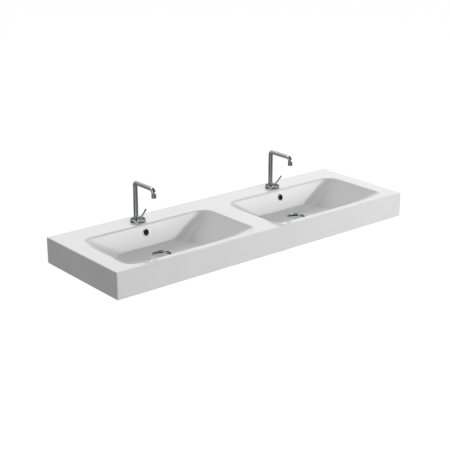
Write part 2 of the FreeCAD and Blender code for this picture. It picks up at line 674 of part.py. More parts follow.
# Pieces made on the bowl's own middle line, with where each group's origin lies
BOWL_PIECES = (overflow_ring,)
WASTE_PIECES = (waste_body, waste_top_seal, waste_bottom_seal, waste_backnut, latch_cartridge,
                plug_cap, plug_seal, plug_stem)
TAP_PIECES = (tap_base, tap_gasket, tap_shank, tap_clamp_washer, tap_clamp_plate, tap_backnut,
              mixing_cartridge, lever_turret, lever_pin, lever_rod, lever_tip,
              spout_tube, spout_spigot, spout_o_ring, spout_bush, spout_grub_screw,
              aerator_sleeve, aerator_insert)
GROUPS = ((BOWL_PIECES, ORIGIN), (WASTE_PIECES, vec(0, DRAIN_Y, FLOOR_Z)),
          (TAP_PIECES, vec(0, TAP_Y, DECK_Z)))
SIDES = (("left", -BOWL_X), ("right", BOWL_X))


def save(name, shape):
    shape.exportStep("parts/" + name + ".step")


def main():
    os.makedirs("parts", exist_ok=True)
    save("basin_body", basin_body())
    for pieces, origin in GROUPS:
        for piece in pieces:
            shape = piece()
            for side, bowl_x in SIDES:
                save(piece.__name__ + "_" + side, moved(shape, origin.x + bowl_x, origin.y, origin.z))


main()
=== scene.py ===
"""Double basin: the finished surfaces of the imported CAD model, as an add-on that is run as a script."""
import json
import math
from contextlib import contextmanager

import bmesh
import bpy
from bpy.props import FloatProperty, FloatVectorProperty, PointerProperty
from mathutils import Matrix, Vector


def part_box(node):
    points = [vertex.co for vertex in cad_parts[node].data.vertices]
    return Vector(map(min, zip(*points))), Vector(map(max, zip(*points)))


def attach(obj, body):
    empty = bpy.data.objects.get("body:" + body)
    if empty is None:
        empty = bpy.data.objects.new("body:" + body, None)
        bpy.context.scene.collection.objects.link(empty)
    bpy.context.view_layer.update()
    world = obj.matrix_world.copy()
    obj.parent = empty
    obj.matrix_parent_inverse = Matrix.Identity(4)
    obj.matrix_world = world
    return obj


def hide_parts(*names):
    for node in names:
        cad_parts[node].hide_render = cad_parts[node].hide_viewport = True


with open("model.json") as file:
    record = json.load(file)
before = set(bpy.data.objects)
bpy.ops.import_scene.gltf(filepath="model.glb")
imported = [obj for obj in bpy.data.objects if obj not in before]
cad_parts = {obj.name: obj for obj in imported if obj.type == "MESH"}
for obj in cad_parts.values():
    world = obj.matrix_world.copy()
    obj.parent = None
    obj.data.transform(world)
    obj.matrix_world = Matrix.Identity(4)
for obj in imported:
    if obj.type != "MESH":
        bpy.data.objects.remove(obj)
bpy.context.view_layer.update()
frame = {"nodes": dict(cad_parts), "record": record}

bl_info = {
    "name": "Double basin",
    "version": (1, 0, 0),
    "blender": (4, 5, 0),
    "location": "View3D > Sidebar > Basin",
    "description": "Models the casting, wastes and taps of a double basin around its CAD frame",
    "category": "Object",
}

MM = 0.001
SHAVE = 0.00001         # keeps two faces of a cut from lying in one plane
OVERLAP = 0.004         # how far a joined form or a cutting tool reaches past a face
SAME = 0.000001         # places closer than this count as one
NEAR = 10 * SAME        # places this close lie on one level or radius
FULL_TURN = 2 * math.pi
QUARTER_TURN = math.pi / 2
HEXAGON = 6
SIDES = (-1, 1)         # left and right
UP = Vector((0.0, 0.0, 1.0))

# Faces round a form
ROUND_STEPS = 96        # a turned piece
BASE_STEPS = 128        # a tap's base
BORE_STEPS = 64         # a bore, tube or lever
SCREW_STEPS = 48        # a grub screw
JET_STEPS = 12          # a hole in the aerator

# Faces across a rounding
CORNER_STEPS = 24       # a corner of a bowl, seen from above
ARC_STEPS = 8           # a bowl's rim or floor edge
BEND_STEPS = 20         # a bend of the spout, along the tube
PROFILE_STEPS = 5       # a corner of a turned profile
SLAB_EDGE_STEPS = 6     # the slab's upper and upright edges
CAST_EDGE_STEPS = 4     # the forms under the deck
FINE_EDGE_STEPS = 3     # the slab's foot and the bores of a tap's base
SMALL_EDGE_STEPS = 2    # the bores of a shank and the ends of a spout

# Roundings of a turned piece's edges, from keen to full
KEEN = 0.2 * MM
CRISP = 0.3 * MM
FINE = 0.4 * MM
PLAIN = 0.5 * MM
EASED = 0.6 * MM
SOFT = 0.8 * MM
BROAD = 1.0 * MM
FULL = 2.0 * MM

# Room between a hole and the piece in it
FIXED = 0.02 * MM
TURNING = 0.06 * MM
SLIDING = 0.1 * MM
LOOSE = 0.3 * MM

RINGS_PER_PITCH = 6     # rings of faces in one pitch of a thread
THREAD_LEAD = 0.8 * MM  # plain length before a thread starts
NUT_SLOPE = 0.6         # drop of a nut's chamfer, by how far its corners stand past its flats
ARC_SHARE = 0.49        # most of a side that the arc in one of its corners may take
BORE_TILT = 0.3         # most that a bore's face may look up or down
SMOOTH_ANGLE = math.radians(35)


def middle(node):
    """Middle of a CAD node's box."""
    low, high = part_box(node)
    return (low + high) / 2


SLAB_LOW, SLAB_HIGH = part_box("basin_body")
DECK_Z = SLAB_HIGH.z
BOWL_X = middle("plug_cap_right").x
DRAIN_Y = middle("plug_cap_right").y
DRAIN = (0.0, DRAIN_Y)  # place of a waste in its bowl
TAP_Y = middle("tap_base_right").y
SPOUT_Y = middle("spout_bush_right").y
LEVER_Y = middle("lever_turret_right").y


def length(name, text, millimetres):
    return FloatProperty(name=name, description=text, default=millimetres * MM, min=0.0,
                         subtype="DISTANCE", unit="LENGTH", precision=4)


def turn(name, text, degrees):
    return FloatProperty(name=name, description=text, default=math.radians(degrees),
                         subtype="ANGLE", unit="ROTATION")


def share(name, text, default):
    return FloatProperty(name=name, description=text, default=default, min=0.0, max=1.0, subtype="FACTOR")


def amount(name, text, default):
    return FloatProperty(name=name, description=text, default=default, min=0.0)


def colour(name, text, default):
    return FloatVectorProperty(name=name, description=text, default=default, size=3, min=0.0, max=1.0,
                               subtype="COLOR")


class CastingSizes(bpy.types.PropertyGroup):
    """Sizes of the ceramic casting"""

    height: length("Height", "Height of the straight front and ends", 100.0)
    arris: length("Arris", "Rounding along the slab's upper and upright edges", 3.5)
    foot_edge: length("Foot edge", "Rounding along the unglazed lower edges", 1.5)
    end_rim: length("End rim", "Flat deck between a bowl and its end of the slab", 65.5)
    middle_rim: length("Middle rim", "Flat deck between the two bowls", 91.0)
    front_rim: length("Front rim", "Flat deck in front of the bowls", 27.5)
    back_deck: length("Back deck", "Flat deck behind the bowls, where the taps stand", 109.5)
    rim_corner: length("Rim corner", "Corner radius of a bowl at the deck", 50.0)
    rim_edge: length("Rim edge", "Rounding between the deck and the bowl walls", 8.0)
    end_run: length("End run", "How far an end wall leans in over the bowl's depth", 134.5)
    front_run: length("Front run", "How far the front wall leans in over the bowl's depth", 127.5)
    back_run: length("Back run", "How far the back wall leans in over the bowl's depth", 18.5)
    floor_corner: length("Floor corner", "Corner radius of a bowl at its floor", 42.0)
    floor_edge: length("Floor edge", "Rounding between the walls and the floor", 8.0)
    floor: length("Floor thickness", "Ceramic under a bowl", 12.0)
    shell: length("Shell", "Ceramic around a bowl", 14.0)
    apron: length("Apron", "Thickness of the front, back and ends", 13.0)
    deck: length("Deck thickness", "Ceramic under the deck", 15.0)
    web: length("Web", "Thickness of the web between the bowls", 12.0)
    web_drop: length("Web drop", "Height of the web under the deck", 45.0)
    cast_edge: length("Cast edge", "Rounding of the forms under the deck", 4.0)
    bolt_pitch: length("Bolt pitch", "Distance between the two wall bolts of a bowl", 280.0)
    bolt_hole: length("Bolt hole", "Radius of the holes for the wall bolts", 7.0)
    tap_hole: length("Tap hole", "Radius of the hole under a tap", 17.5)
    overflow_down: length("Overflow level", "Middle of the overflow below the deck", 31.5)
    overflow_hole: length("Overflow hole", "Radius of the hole behind the overflow ring", 12.0)
    duct_width: length("Duct width", "Inside width of the overflow duct", 40.0)
    duct_gap: length("Duct gap", "Inside depth of the overflow duct", 10.0)
    duct_skin: length("Duct skin", "Ceramic around the overflow duct", 7.0)
    duct_cover: length("Duct cover", "Ceramic between the floor's underside and the duct", 9.0)
    recess: length("Waste recess", "Radius of the recess for the waste flange", 37.3)
    recess_depth: length("Recess depth", "Depth of the recess for the waste flange", 14.0)
    waste_hole: length("Waste hole", "Radius of the hole for the waste tail", 22.955)
    boss: length("Boss", "Radius of the boss around the waste hole", 46.3)


class WasteSizes(bpy.types.PropertyGroup):
    """Sizes of the overflow rings, wastes and plugs"""

    ring: length("Overflow ring", "Outer radius of the overflow ring", 15.0)
    ring_bore: length("Ring bore", "Bore radius of the overflow ring", 11.0)
    ring_proud: length("Ring stand-off", "How far the overflow ring stands off the wall", 2.4)
    ring_sleeve: length("Ring sleeve", "How far the overflow ring reaches into its hole", 9.0)
    flange: length("Flange", "Outer radius of the waste flange", 36.5)
    flange_edge: length("Flange edge", "Thickness of the flange's upper edge", 1.3)
    flange_lip: length("Flange lip", "How far the flange stands above the bowl's floor", 0.4)
    flange_wall: length("Flange wall", "Thickness of the flange's seat", 2.4)
    dish: length("Dish", "Depth of the dish in the flange", 10.0)
    flare: length("Flare", "How far the dish narrows towards its seat", 2.2)
    tail: length("Tail", "Major radius of the threaded tail", 20.955)
    tail_wall: length("Tail wall", "Thickness of the tail", 2.5)
    tail_pitch: length("Tail pitch", "Pitch of the tail's thread", 2.309)
    thread_depth: length("Thread depth", "Depth of the tail's thread", 0.9)
    outlet: length("Outlet", "Length of thread below the nut", 30.0)
    slot: length("Slot", "Width of the overflow slots in the tail", 10.0)
    arm: length("Arm", "Thickness of the arms that carry the latch", 3.0)
    hub_wall: length("Hub wall", "Thickness of the ring that holds the latch", 2.5)
    hub_height: length("Hub height", "Height of the ring that holds the latch", 10.0)
    nut_wall: length("Nut wall", "Thickness of the waste nut at its flats", 6.0)
    cap_boss: length("Cap boss", "Radius of the boss under the plug cap", 7.0)
    crown: length("Crown", "How much the plug cap rises to its middle", 0.7)
    seal_width: length("Seal width", "Width of the seal under the plug cap", 6.0)


class TapSizes(bpy.types.PropertyGroup):
    """Sizes of the mixer taps"""

    base_edge: length("Base edge", "Rounding of the base's upper edge", 1.5)
    base_recess: length("Base recess", "Radius of the recess under the base", 27.3)
    bore_edge: length("Bore edge", "Rounding of the bores in the base", 0.35)
    journal: length("Journal bore", "Radius of the base's bore for the spout", 6.3)
    bush: length("Bush bore", "Radius of the counterbore for the spout's bush", 7.26)
    shank: length("Shank", "Major radius of the threaded shank", 17.0)
    shank_pitch: length("Shank pitch", "Pitch of the shank's thread", 1.5)
    shank_thread: length("Shank thread", "Depth of the shank's thread", 0.6)
    cartridge: length("Cartridge bore", "Radius of the bore for the mixing cartridge", 6.6)
    stem: length("Stem bore", "Radius of the bore for the spout's stem", 4.6)
    inlet: length("Inlet", "Radius of the hot and cold inlets", 4.5)
    inlet_depth: length("Inlet depth", "Depth of the hot and cold inlets", 14.0)
    inlet_side: length("Inlet offset", "Inlets to each side of the middle", 7.5)
    clamp_bore: length("Clamp bore", "Bore radius of the clamp washers", 17.3)
    clamp: length("Clamp", "Outer radius of the clamp washers", 21.0)
    nut_wall: length("Nut wall", "Thickness of the tap nut at its flats", 2.4)
    turret: length("Turret", "Radius of the lever's turret", 7.2)
    dome: length("Dome", "Height of the turret's dome", 2.4)
    eye: length("Eye", "Radius of the lever's eye", 2.6)
    pin: length("Pin", "Radius of the lever's pin", 1.0)
    neck: length("Neck", "Radius of the lever's neck", 2.0)
    neck_length: length("Neck length", "Length of the lever's neck", 10.0)
    lever: length("Lever", "Radius of the lever", 3.0)
    lever_length: length("Lever length", "From the lever's pivot to its tip", 73.0)
    lever_lean: turn("Lever lean", "How far the lever leans forward", 38.6)
    tip: length("Tip", "Radius of the lever's tip", 3.3)
    tip_length: length("Tip length", "Length of the lever's tip", 6.2)
    tip_notch: length("Tip notch", "Groove between the lever and its tip", 0.8)
    stud: length("Stud", "Radius of the stud that carries the tip", 1.5)
    tube: length("Tube", "Outer radius of the spout tube", 9.0)
    tube_wall: length("Tube wall", "Thickness of the spout tube", 1.5)
    tube_edge: length("Tube edge", "Rounding of the spout tube's ends", 0.25)
    rear_bend: length("Rear bend", "Radius of the spout's bend above its foot", 11.0)
    front_bend: length("Front bend", "Radius of the spout's bend above its nozzle", 16.0)
    nozzle: length("Nozzle", "Outer radius of the nozzle", 9.2)
    nozzle_height: length("Nozzle height", "Height of the nozzle below the tube", 13.0)
    nozzle_wall: length("Nozzle wall", "Thickness of the nozzle at its mouth", 1.1)
    spigot_wall: length("Spigot wall", "Thickness of the nozzle inside the tube", 1.4)
    jet_hole: length("Jet hole", "Radius of the holes in the aerator", 0.88)


class FinishColours(bpy.types.PropertyGroup):
    """Colours and gloss of the finishes"""

    glaze: colour("Glaze", "White glaze of the casting", (0.86, 0.86, 0.86))
    glaze_gloss: share("Glaze roughness", "Roughness of the glaze", 0.035)
    under_gloss: share("Underside roughness", "Roughness of the thin glaze under the slab", 0.5)
    clay: colour("Clay", "Unglazed clay on the foot", (0.62, 0.58, 0.52))
    clay_gloss: share("Clay roughness", "Roughness of the unglazed foot", 0.8)
    # Near black: painted shade inside the overflow ducts and the overflow rings' bores, far darker than
    # unglazed clay is
    duct: colour("Duct", "Unglazed inside of the overflow duct", (0.02, 0.019, 0.018))
    chrome: colour("Chrome", "Polished chrome", (0.55, 0.555, 0.56))
    brass: colour("Brass", "Machined brass", (0.72, 0.53, 0.26))
    steel: colour("Steel", "Plain steel", (0.52, 0.53, 0.54))
    rubber: colour("Rubber", "Black rubber", (0.035, 0.035, 0.036))
    plastic: colour("Plastic", "Moulded plastic", (0.74, 0.74, 0.72))


class StageSettings(bpy.types.PropertyGroup):
    """Camera, light, floor and the tones of the cards that polished faces mirror"""

    deck_height: length("Deck height", "Height of the deck above the room's floor", 850.0)
    ambient: share("Ambient", "Light from all around", 0.27)
    key: amount("Key light", "Power of the soft box in front on the right", 195.0)
    back: amount("Back light", "Strength of the soft light from behind", 2.65)
    fill: amount("Fill light", "Strength of the soft light from the left", 0.32)
    glow: share("Floor glow", "What the floor adds to its own light to show white", 0.45)
    sky: amount("Sky card", "Tone of the card behind on the right that the deck mirrors", 1.5)
    box: amount("Box card", "Tone of the card in front that the bowls' back walls mirror", 4.0)
    wall: amount("Wall card", "Tone of the card that the bowls' floors mirror", 0.65)
    line: amount("Line card", "Tone of the strip above that the bowls' corners mirror", 4.0)
    black: share("Black cards", "Tone of the card above and of the mat behind on the left", 0.02)
    dark: share("Dark cards", "Tone of the card and mat in front, and of the cards behind the taps", 0.20)
    grey: share("Grey cards", "Tone of the cards at the sides and of the mat behind on the right", 0.45)
    white: share("White mat", "Tone of the strip on the floor in front on the left", 1.0)
    lens: amount("Lens", "Focal length in millimetres", 87.15)


def activate(piece):
    """Makes a piece the only selected object."""
    bpy.ops.object.select_all(action="DESELECT")
    piece.select_set(True)
    bpy.context.view_layer.objects.active = piece


def started(name):
    """Names the primitive that was just added."""
    piece = bpy.context.object
    piece.name = name
    piece.data.name = name
    return piece


@contextmanager
def editing(piece, kind="VERT"):
    activate(piece)
    bpy.ops.object.mode_set(mode="EDIT")
    bpy.ops.mesh.select_mode(type=kind)
    yield bmesh.from_edit_mesh(piece.data)
    bmesh.update_edit_mesh(piece.data)
    bpy.ops.object.mode_set(mode="OBJECT")


def pick(elements, test):
    """Selects the vertices, edges or faces that pass the test."""
    bpy.ops.mesh.select_all(action="DESELECT")
    for element in elements:
        if test(element):
            element.select_set(True)


def apply_change(piece, change):
    activate(piece)
    bpy.ops.object.modifier_apply(modifier=change.name)


def applied(piece):
    """Puts a piece's place, turn and scale into its mesh."""
    activate(piece)
    bpy.ops.object.transform_apply(location=True, rotation=True, scale=True)
    return piece


def set_at(piece, place, lean=0.0):
    """Leans a piece about X and moves it to its place."""
    piece.rotation_euler = (lean, 0.0, 0.0)
    piece.location = place
    return applied(piece)


def block(name, low, high):
    """A box between two corners, to be shaped or cut with."""
    low = Vector(low)
    high = Vector(high)
    bpy.ops.mesh.primitive_cube_add(size=1.0, location=(low + high) / 2)
    piece = started(name)
    piece.scale = high - low
    return applied(piece)


def rod(name, radius, low, high, place=(0.0, 0.0), steps=BORE_STEPS):
    """An upright round bar, to be shaped or cut with."""
    bpy.ops.mesh.primitive_cylinder_add(vertices=steps, radius=radius, depth=high - low,
                                        location=(place[0], place[1], (low + high) / 2))
    return applied(started(name))


def round_edges(piece, test, width, steps):
    """Rounds the edges that pass the test."""
    with editing(piece, "EDGE") as shape:
        pick(shape.edges, test)
        bpy.ops.mesh.bevel(offset=width, offset_type="OFFSET", segments=steps, profile=0.5, affect="EDGES")


def is_corner(edge):
    return edge.calc_face_angle(0.0) > SMOOTH_ANGLE


def is_bore(face):
    """True for a face of a turned piece that looks at its axis."""
    return face.calc_center_median().xy.dot(face.normal.xy) < 0 and abs(face.normal.z) < BORE_TILT


def level(edge, z):
    """True for an edge that lies in the level z."""
    return all(abs(corner.co.z - z) < NEAR for corner in edge.verts)


def from_axis(edge):
    """How far an edge starts from the Z axis."""
    return edge.verts[0].co.xy.length


def combine(piece, tool, operation):
    """Joins, cuts or intersects a piece with a tool, which is used up."""
    change = piece.modifiers.new("combine", "BOOLEAN")
    change.object = tool
    change.operation = operation
    change.solver = "EXACT"
    # A tool with a finish leaves it on the faces that it cuts.
    if tool.data.materials:
        change.material_mode = "TRANSFER"
    apply_change(piece, change)
    mesh = tool.data
    bpy.data.objects.remove(tool)
    bpy.data.meshes.remove(mesh)
    return piece


def outline(name, points):
    """A closed loop of edges through the points."""
    bpy.ops.mesh.primitive_circle_add(vertices=len(points), fill_type="NOTHING")
    piece = started(name)
    with editing(piece) as shape:
        for corner, point in zip(shape.verts, points):
            corner.co = point
    return piece


def tidied():
    """Merges doubles and turns the faces of the mesh in edit mode outwards."""
    bpy.ops.mesh.select_all(action="SELECT")
    bpy.ops.mesh.remove_doubles(threshold=SAME)
    bpy.ops.mesh.delete_loose()
    bpy.ops.mesh.select_all(action="SELECT")
    bpy.ops.mesh.normals_make_consistent(inside=False)


def softened(profile):
    """Points of a closed profile of (radius, height, rounding) corners, with arcs in the corners."""
    points = []
    for i, (radius, height, rounding) in enumerate(profile):
        corner = Vector((radius, height))
        before = Vector(profile[i - 1][:2]) - corner
        after = Vector(profile[(i + 1) % len(profile)][:2]) - corner
        if not rounding:
            points.append(corner)
            continue
        half = before.angle(after) / 2
        reach = min(rounding / math.tan(half), before.length * ARC_SHARE, after.length * ARC_SHARE)
        inward = (before.normalized() + after.normalized()).normalized()
        centre = corner + inward * reach / math.cos(half)
        start = corner + before.normalized() * reach - centre
        end = corner + after.normalized() * reach - centre
        sweep = start.angle(end)
        for step in range(PROFILE_STEPS + 1):
            part = step / PROFILE_STEPS
            along = (start * math.sin((1 - part) * sweep) + end * math.sin(part * sweep)) / math.sin(sweep)
            points.append(centre + along)
    return points


def turned(name, profile, steps=ROUND_STEPS):
    """A turned piece about Z from (radius, height, rounding) corners."""
    piece = outline(name, [(p.x, 0.0, p.y) for p in softened(profile)])
    with editing(piece):
        bpy.ops.mesh.select_all(action="SELECT")
        bpy.ops.mesh.spin(steps=steps, angle=FULL_TURN, center=(0, 0, 0), axis=(0, 0, 1))
        tidied()
    return piece


def collar(bore, outer, low, high, bore_edge, outer_edge):
    """Profile of a plain ring."""
    return [(bore, low, bore_edge), (outer, low, outer_edge),
            (outer, high, outer_edge), (bore, high, bore_edge)]


def extruded(name, points, way):
    """A bar: a closed outline, filled and drawn out."""
    piece = outline(name, points)
    with editing(piece, "EDGE"):
        bpy.ops.mesh.select_all(action="SELECT")
        bpy.ops.mesh.edge_face_add()
        bpy.ops.mesh.extrude_region_move(TRANSFORM_OT_translate={"value": way})
        tidied()
    return piece


def thread_levels(low, high, pitch):
    """Heights at which a threaded length has its rings."""
    count = max(2, round((high - low) / pitch * RINGS_PER_PITCH))
    return [low + (high - low) * i / count for i in range(count + 1)]


def cut_thread(piece, radius, low, high, pitch, depth):
    """Draws the rings of a plain length in along a helix."""
    with editing(piece) as shape:
        for point in shape.verts:
            out = math.hypot(point.co.x, point.co.y)
            if abs(out - radius) > NEAR or not low <= point.co.z <= high:
                continue
            around = math.atan2(point.co.y, point.co.x) / FULL_TURN
            wave = abs(2 * ((point.co.z / pitch - around) % 1) - 1)
            fade = min(1.0, (point.co.z - low) / pitch, (high - point.co.z) / pitch)
            inward = 1 - depth * wave * fade / radius
            point.co.x *= inward
            point.co.y *= inward


def hex_nut(name, bore, wall, low, high, chamfer):
    """A hexagon nut about Z with turned chamfers and a countersunk bore."""
    flat = bore + wall
    face = flat - chamfer / 2
    corner = flat / math.cos(math.pi / HEXAGON)
    angles = [FULL_TURN * i / HEXAGON for i in range(HEXAGON)]
    corners = [(corner * math.cos(a), corner * math.sin(a), low - OVERLAP) for a in angles]
    piece = extruded(name, corners, (0.0, 0.0, high - low + 2 * OVERLAP))
    drop = (corner - flat) * NUT_SLOPE
    widest = corner + SHAVE
    blank = turned("nut_blank", [(0.0, low, 0.0), (face, low, 0.0), (widest, low + drop, 0.0),
                                 (widest, high - drop, 0.0), (face, high, 0.0), (0.0, high, 0.0)])
    combine(piece, blank, "INTERSECT")
    past = chamfer + SHAVE
    mouth = bore + 2 * chamfer
    drill = turned("nut_bore", [(0.0, low - past, 0.0), (mouth, low - past, 0.0),
                                (bore, low + chamfer, 0.0), (bore, high - chamfer, 0.0),
                                (mouth, high + past, 0.0), (0.0, high + past, 0.0)])
    return combine(piece, drill, "DIFFERENCE")


class Finish:
    """A new material's nodes, with short ways to add more."""

    def __init__(self, name):
        self.material = bpy.data.materials.new(name)
        self.material.use_nodes = True
        self.tree = self.material.node_tree
        self.shader = self.tree.nodes["Principled BSDF"]
        self.place = self.tree.nodes.new("ShaderNodeTexCoord").outputs["Object"]

    def node(self, kind, **values):
        made = self.tree.nodes.new(kind)
        for socket, value in values.items():
            made.inputs[socket].default_value = value
        return made

    def link(self, source, target):
        self.tree.links.new(source, target)

    def feed(self, target, value):
        """Links a socket to the target, or sets the target to a value."""
        if isinstance(value, bpy.types.NodeSocket):
            self.link(value, target)
        else:
            target.default_value = value

    def noise(self, scale, detail=3.0, stretch=(1.0, 1.0, 1.0)):
        mapping = self.node("ShaderNodeMapping", Scale=stretch)
        made = self.node("ShaderNodeTexNoise", Scale=scale, Detail=detail, Roughness=0.55)
        self.link(self.place, mapping.inputs["Vector"])
        self.link(mapping.outputs["Vector"], made.inputs["Vector"])
        return made.outputs["Fac"]

    def spread(self, source, low, high, start=0.3, end=0.7):
        """Maps the source from start..end to low..high, which are numbers or sockets."""
        made = self.tree.nodes.new("ShaderNodeMapRange")
        for socket, value in (("Value", source), ("From Min", start), ("From Max", end),
                              ("To Min", low), ("To Max", high)):
            self.feed(made.inputs[socket], value)
        return made.outputs["Result"]

    def upright(self, vector):
        """The Z part of a vector socket."""
        made = self.tree.nodes.new("ShaderNodeSeparateXYZ")
        self.link(vector, made.inputs["Vector"])
        return made.outputs["Z"]

    def mixed(self, source, first, second):
        """Colour between two colours, or two colour sockets, by the source."""
        made = self.tree.nodes.new("ShaderNodeMix")
        made.data_type = "RGBA"
        self.link(source, made.inputs["Factor"])
        for socket, value in (("A", first), ("B", second)):
            target = next(s for s in made.inputs if s.name == socket and s.type == "RGBA")
            self.feed(target, value if isinstance(value, bpy.types.NodeSocket) else (*value, 1.0))
        return next(s for s in made.outputs if s.type == "RGBA")

    def drifting(self, source, value, drift):
        """A value that drifts by a share of itself, by the source."""
        return self.spread(source, value * (1 - drift), value * (1 + drift))

    def roughness(self, source, value, drift):
        """Roughness that drifts about its value, by the source."""
        self.link(self.drifting(source, value, drift), self.shader.inputs["Roughness"])

    def bump(self, source, depth, strength):
        made = self.node("ShaderNodeBump", Strength=strength, Distance=depth)
        self.link(source, made.inputs["Height"])
        self.link(made.outputs["Normal"], self.shader.inputs["Normal"])

    def varied(self, colour_value, spread, scale):
        """Base colour that drifts slightly about its value."""
        lighter = [min(1.0, c * (1 + spread)) for c in colour_value]
        darker = [c * (1 - spread) for c in colour_value]
        tint = self.mixed(self.spread(self.noise(scale), 0.0, 1.0), darker, lighter)
        self.link(tint, self.shader.inputs["Base Color"])
        return tint


def glazed_ceramic(colours, bottom):
    """Glossy white glaze, duller where it faces down, over a dry clay foot."""
    finish = Finish("basin_ceramic")
    tint = finish.varied(colours.glaze, spread=0.012, scale=7.0)
    glaze_line = finish.tree.nodes.new("ShaderNodeMath")
    glaze_line.operation = "ADD"
    finish.link(finish.upright(finish.place), glaze_line.inputs[0])
    waver = 0.4 * MM
    finish.link(finish.spread(finish.noise(scale=45.0), -waver, waver), glaze_line.inputs[1])
    glazed = finish.spread(glaze_line.outputs["Value"], 0.0, 1.0,
                           start=bottom + 0.8 * MM, end=bottom + 1.4 * MM)
    finish.link(finish.mixed(glazed, colours.clay, tint), finish.shader.inputs["Base Color"])
    gloss = finish.drifting(finish.noise(scale=18.0), colours.glaze_gloss, drift=0.3)
    normal = finish.tree.nodes.new("ShaderNodeNewGeometry").outputs["True Normal"]
    dull = finish.spread(finish.upright(normal), colours.under_gloss, gloss, start=-0.25, end=-0.05)
    rough = finish.spread(glazed, colours.clay_gloss, dull, start=0.0, end=1.0)
    finish.link(rough, finish.shader.inputs["Roughness"])
    finish.bump(finish.noise(scale=55.0, detail=1.0), depth=0.4 * MM, strength=0.06)
    return finish.material


def painted_shade_clay(colours):
    """Near-black painted shade inside the overflow ducts and the overflow rings' bores, with the roughness
    and bump of unglazed clay.
    """
    finish = Finish("basin_duct_clay")
    finish.varied(colours.duct, spread=0.2, scale=120.0)
    finish.roughness(finish.noise(scale=300.0), 0.85, drift=0.12)
    finish.bump(finish.noise(scale=600.0), depth=0.3 * MM, strength=0.4)
    return finish.material


def polished_chrome(colours):
    finish = Finish("basin_chrome")
    finish.varied(colours.chrome, spread=0.02, scale=40.0)
    finish.shader.inputs["Metallic"].default_value = 1.0
    finish.roughness(finish.noise(scale=90.0), 0.05, drift=0.4)
    finish.bump(finish.noise(scale=160.0, detail=1.0), depth=0.1 * MM, strength=0.02)
    return finish.material


def machined(name, colour_value, rough, stretch):
    """Metal with the fine marks of a tool, drawn out along some of the axes."""
    finish = Finish(name)
    finish.varied(colour_value, spread=0.06, scale=60.0)
    finish.shader.inputs["Metallic"].default_value = 1.0
    marks = finish.noise(scale=400.0, detail=2.0, stretch=stretch)
    finish.roughness(marks, rough, drift=0.3)
    finish.bump(marks, depth=0.1 * MM, strength=0.15)
    return finish.material


def moulded(name, colour_value, spread, rough, grain):
    """Rubber or plastic with a faint grain."""
    finish = Finish(name)
    finish.varied(colour_value, spread, scale=80.0)
    marks = finish.noise(grain)
    finish.roughness(marks, rough, drift=0.15)
    finish.bump(marks, depth=0.1 * MM, strength=0.2)
    return finish.material


FINISHES = {}


def make_finishes(scene):
    """Makes one material for each slot of the record, and one of near-black painted shade for the overflow
    ducts and the rings' bores.
    """
    colours = scene.basin_finishes
    FINISHES.update({
        "ceramic": glazed_ceramic(colours, DECK_Z - scene.basin_casting.height),
        # near-black painted shade for the ducts and the overflow rings' bores
        "duct": painted_shade_clay(colours),
        "chrome": polished_chrome(colours),
        "brass": machined("basin_brass", colours.brass, rough=0.28, stretch=(0.15, 0.15, 1.0)),
        "steel": machined("basin_steel", colours.steel, rough=0.32, stretch=(0.2, 1.0, 1.0)),
        "rubber": moulded("basin_rubber", colours.rubber, spread=0.15, rough=0.6, grain=700.0),
        "plastic": moulded("basin_plastic", colours.plastic, spread=0.02, rough=0.38, grain=500.0),
    })


def smooth(piece):
    """Merges what cuts left doubled, and shades a piece smooth between its corners."""
    with editing(piece):
        bpy.ops.mesh.select_all(action="SELECT")
        bpy.ops.mesh.remove_doubles(threshold=SAME)
    activate(piece)
    bpy.ops.object.shade_smooth_by_angle(angle=SMOOTH_ANGLE)
    weigh = piece.modifiers.new("weigh", "WEIGHTED_NORMAL")
    weigh.keep_sharp = True
    apply_change(piece, weigh)


def settle(piece, slot, body, node):
    """Sets a finished piece on its body in place of its CAD node."""
    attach(piece, body)
    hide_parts(node)
    # Polished faces mirror the studio's cards and other chrome. The ceramic would hide the cards.
    piece.visible_glossy = slot == "chrome"


def settle_pair(piece, slot, node, body=None):
    """Finishes a left-hand piece, copies it to the right, and settles both."""
    smooth(piece)
    if not piece.data.materials:
        piece.data.materials.append(FINISHES[slot])
    name = piece.name
    bpy.ops.object.duplicate(linked=False)
    twin = started(name + "_right")
    twin.location.x = 2 * BOWL_X
    applied(twin)
    piece.name = name + "_left"
    piece.data.name = piece.name
    for copy, side in ((piece, "left"), (twin, "right")):
        settle(copy, slot, f"{body}_{side}" if body else "basin", f"{node}_{side}")


def plan(half, front, back, radius):
    """Places and outward directions round a rounded rectangle, corner by corner."""
    corners = ((half - radius, front + radius, -90), (half - radius, back - radius, 0),
               (radius - half, back - radius, 90), (radius - half, front + radius, 180))
    for x, y, start in corners:
        for step in range(CORNER_STEPS + 1):
            around = math.radians(start + 90 * step / CORNER_STEPS)
            out = Vector((math.cos(around), math.sin(around), 0.0))
            yield Vector((x, y, 0.0)) + out * radius, out


def rim_and_floor(sizes, grow):
    """The plans of a bowl's rim and floor, grown level by an amount."""
    half = (SLAB_HIGH.x - sizes.end_rim - sizes.middle_rim / 2) / 2 + grow
    front = SLAB_LOW.y + sizes.front_rim
    back = SLAB_HIGH.y - sizes.back_deck
    rim = plan(half, front - grow, back + grow, sizes.rim_corner + grow)
    floor = plan(half - sizes.end_run, front + sizes.front_run - grow, back - sizes.back_run + grow,
                 sizes.floor_corner + grow)
    return list(rim), list(floor)


def sink(name, rings):
    """A closed form through rings of corners: an outline extruded from each ring to the next."""
    piece = outline(name, rings[0])
    with editing(piece, "EDGE") as shape:
        bpy.ops.mesh.select_all(action="SELECT")
        for ring, following in zip(rings, rings[1:]):
            bpy.ops.mesh.extrude_edges_indiv()
            for corner in shape.verts:
                if corner.select:
                    spot = min(range(len(ring)), key=lambda i: (ring[i] - corner.co).length_squared)
                    corner.co = following[spot]
        bpy.ops.mesh.select_all(action="SELECT")
        bpy.ops.mesh.fill_holes(sides=0)
        tidied()
    return piece


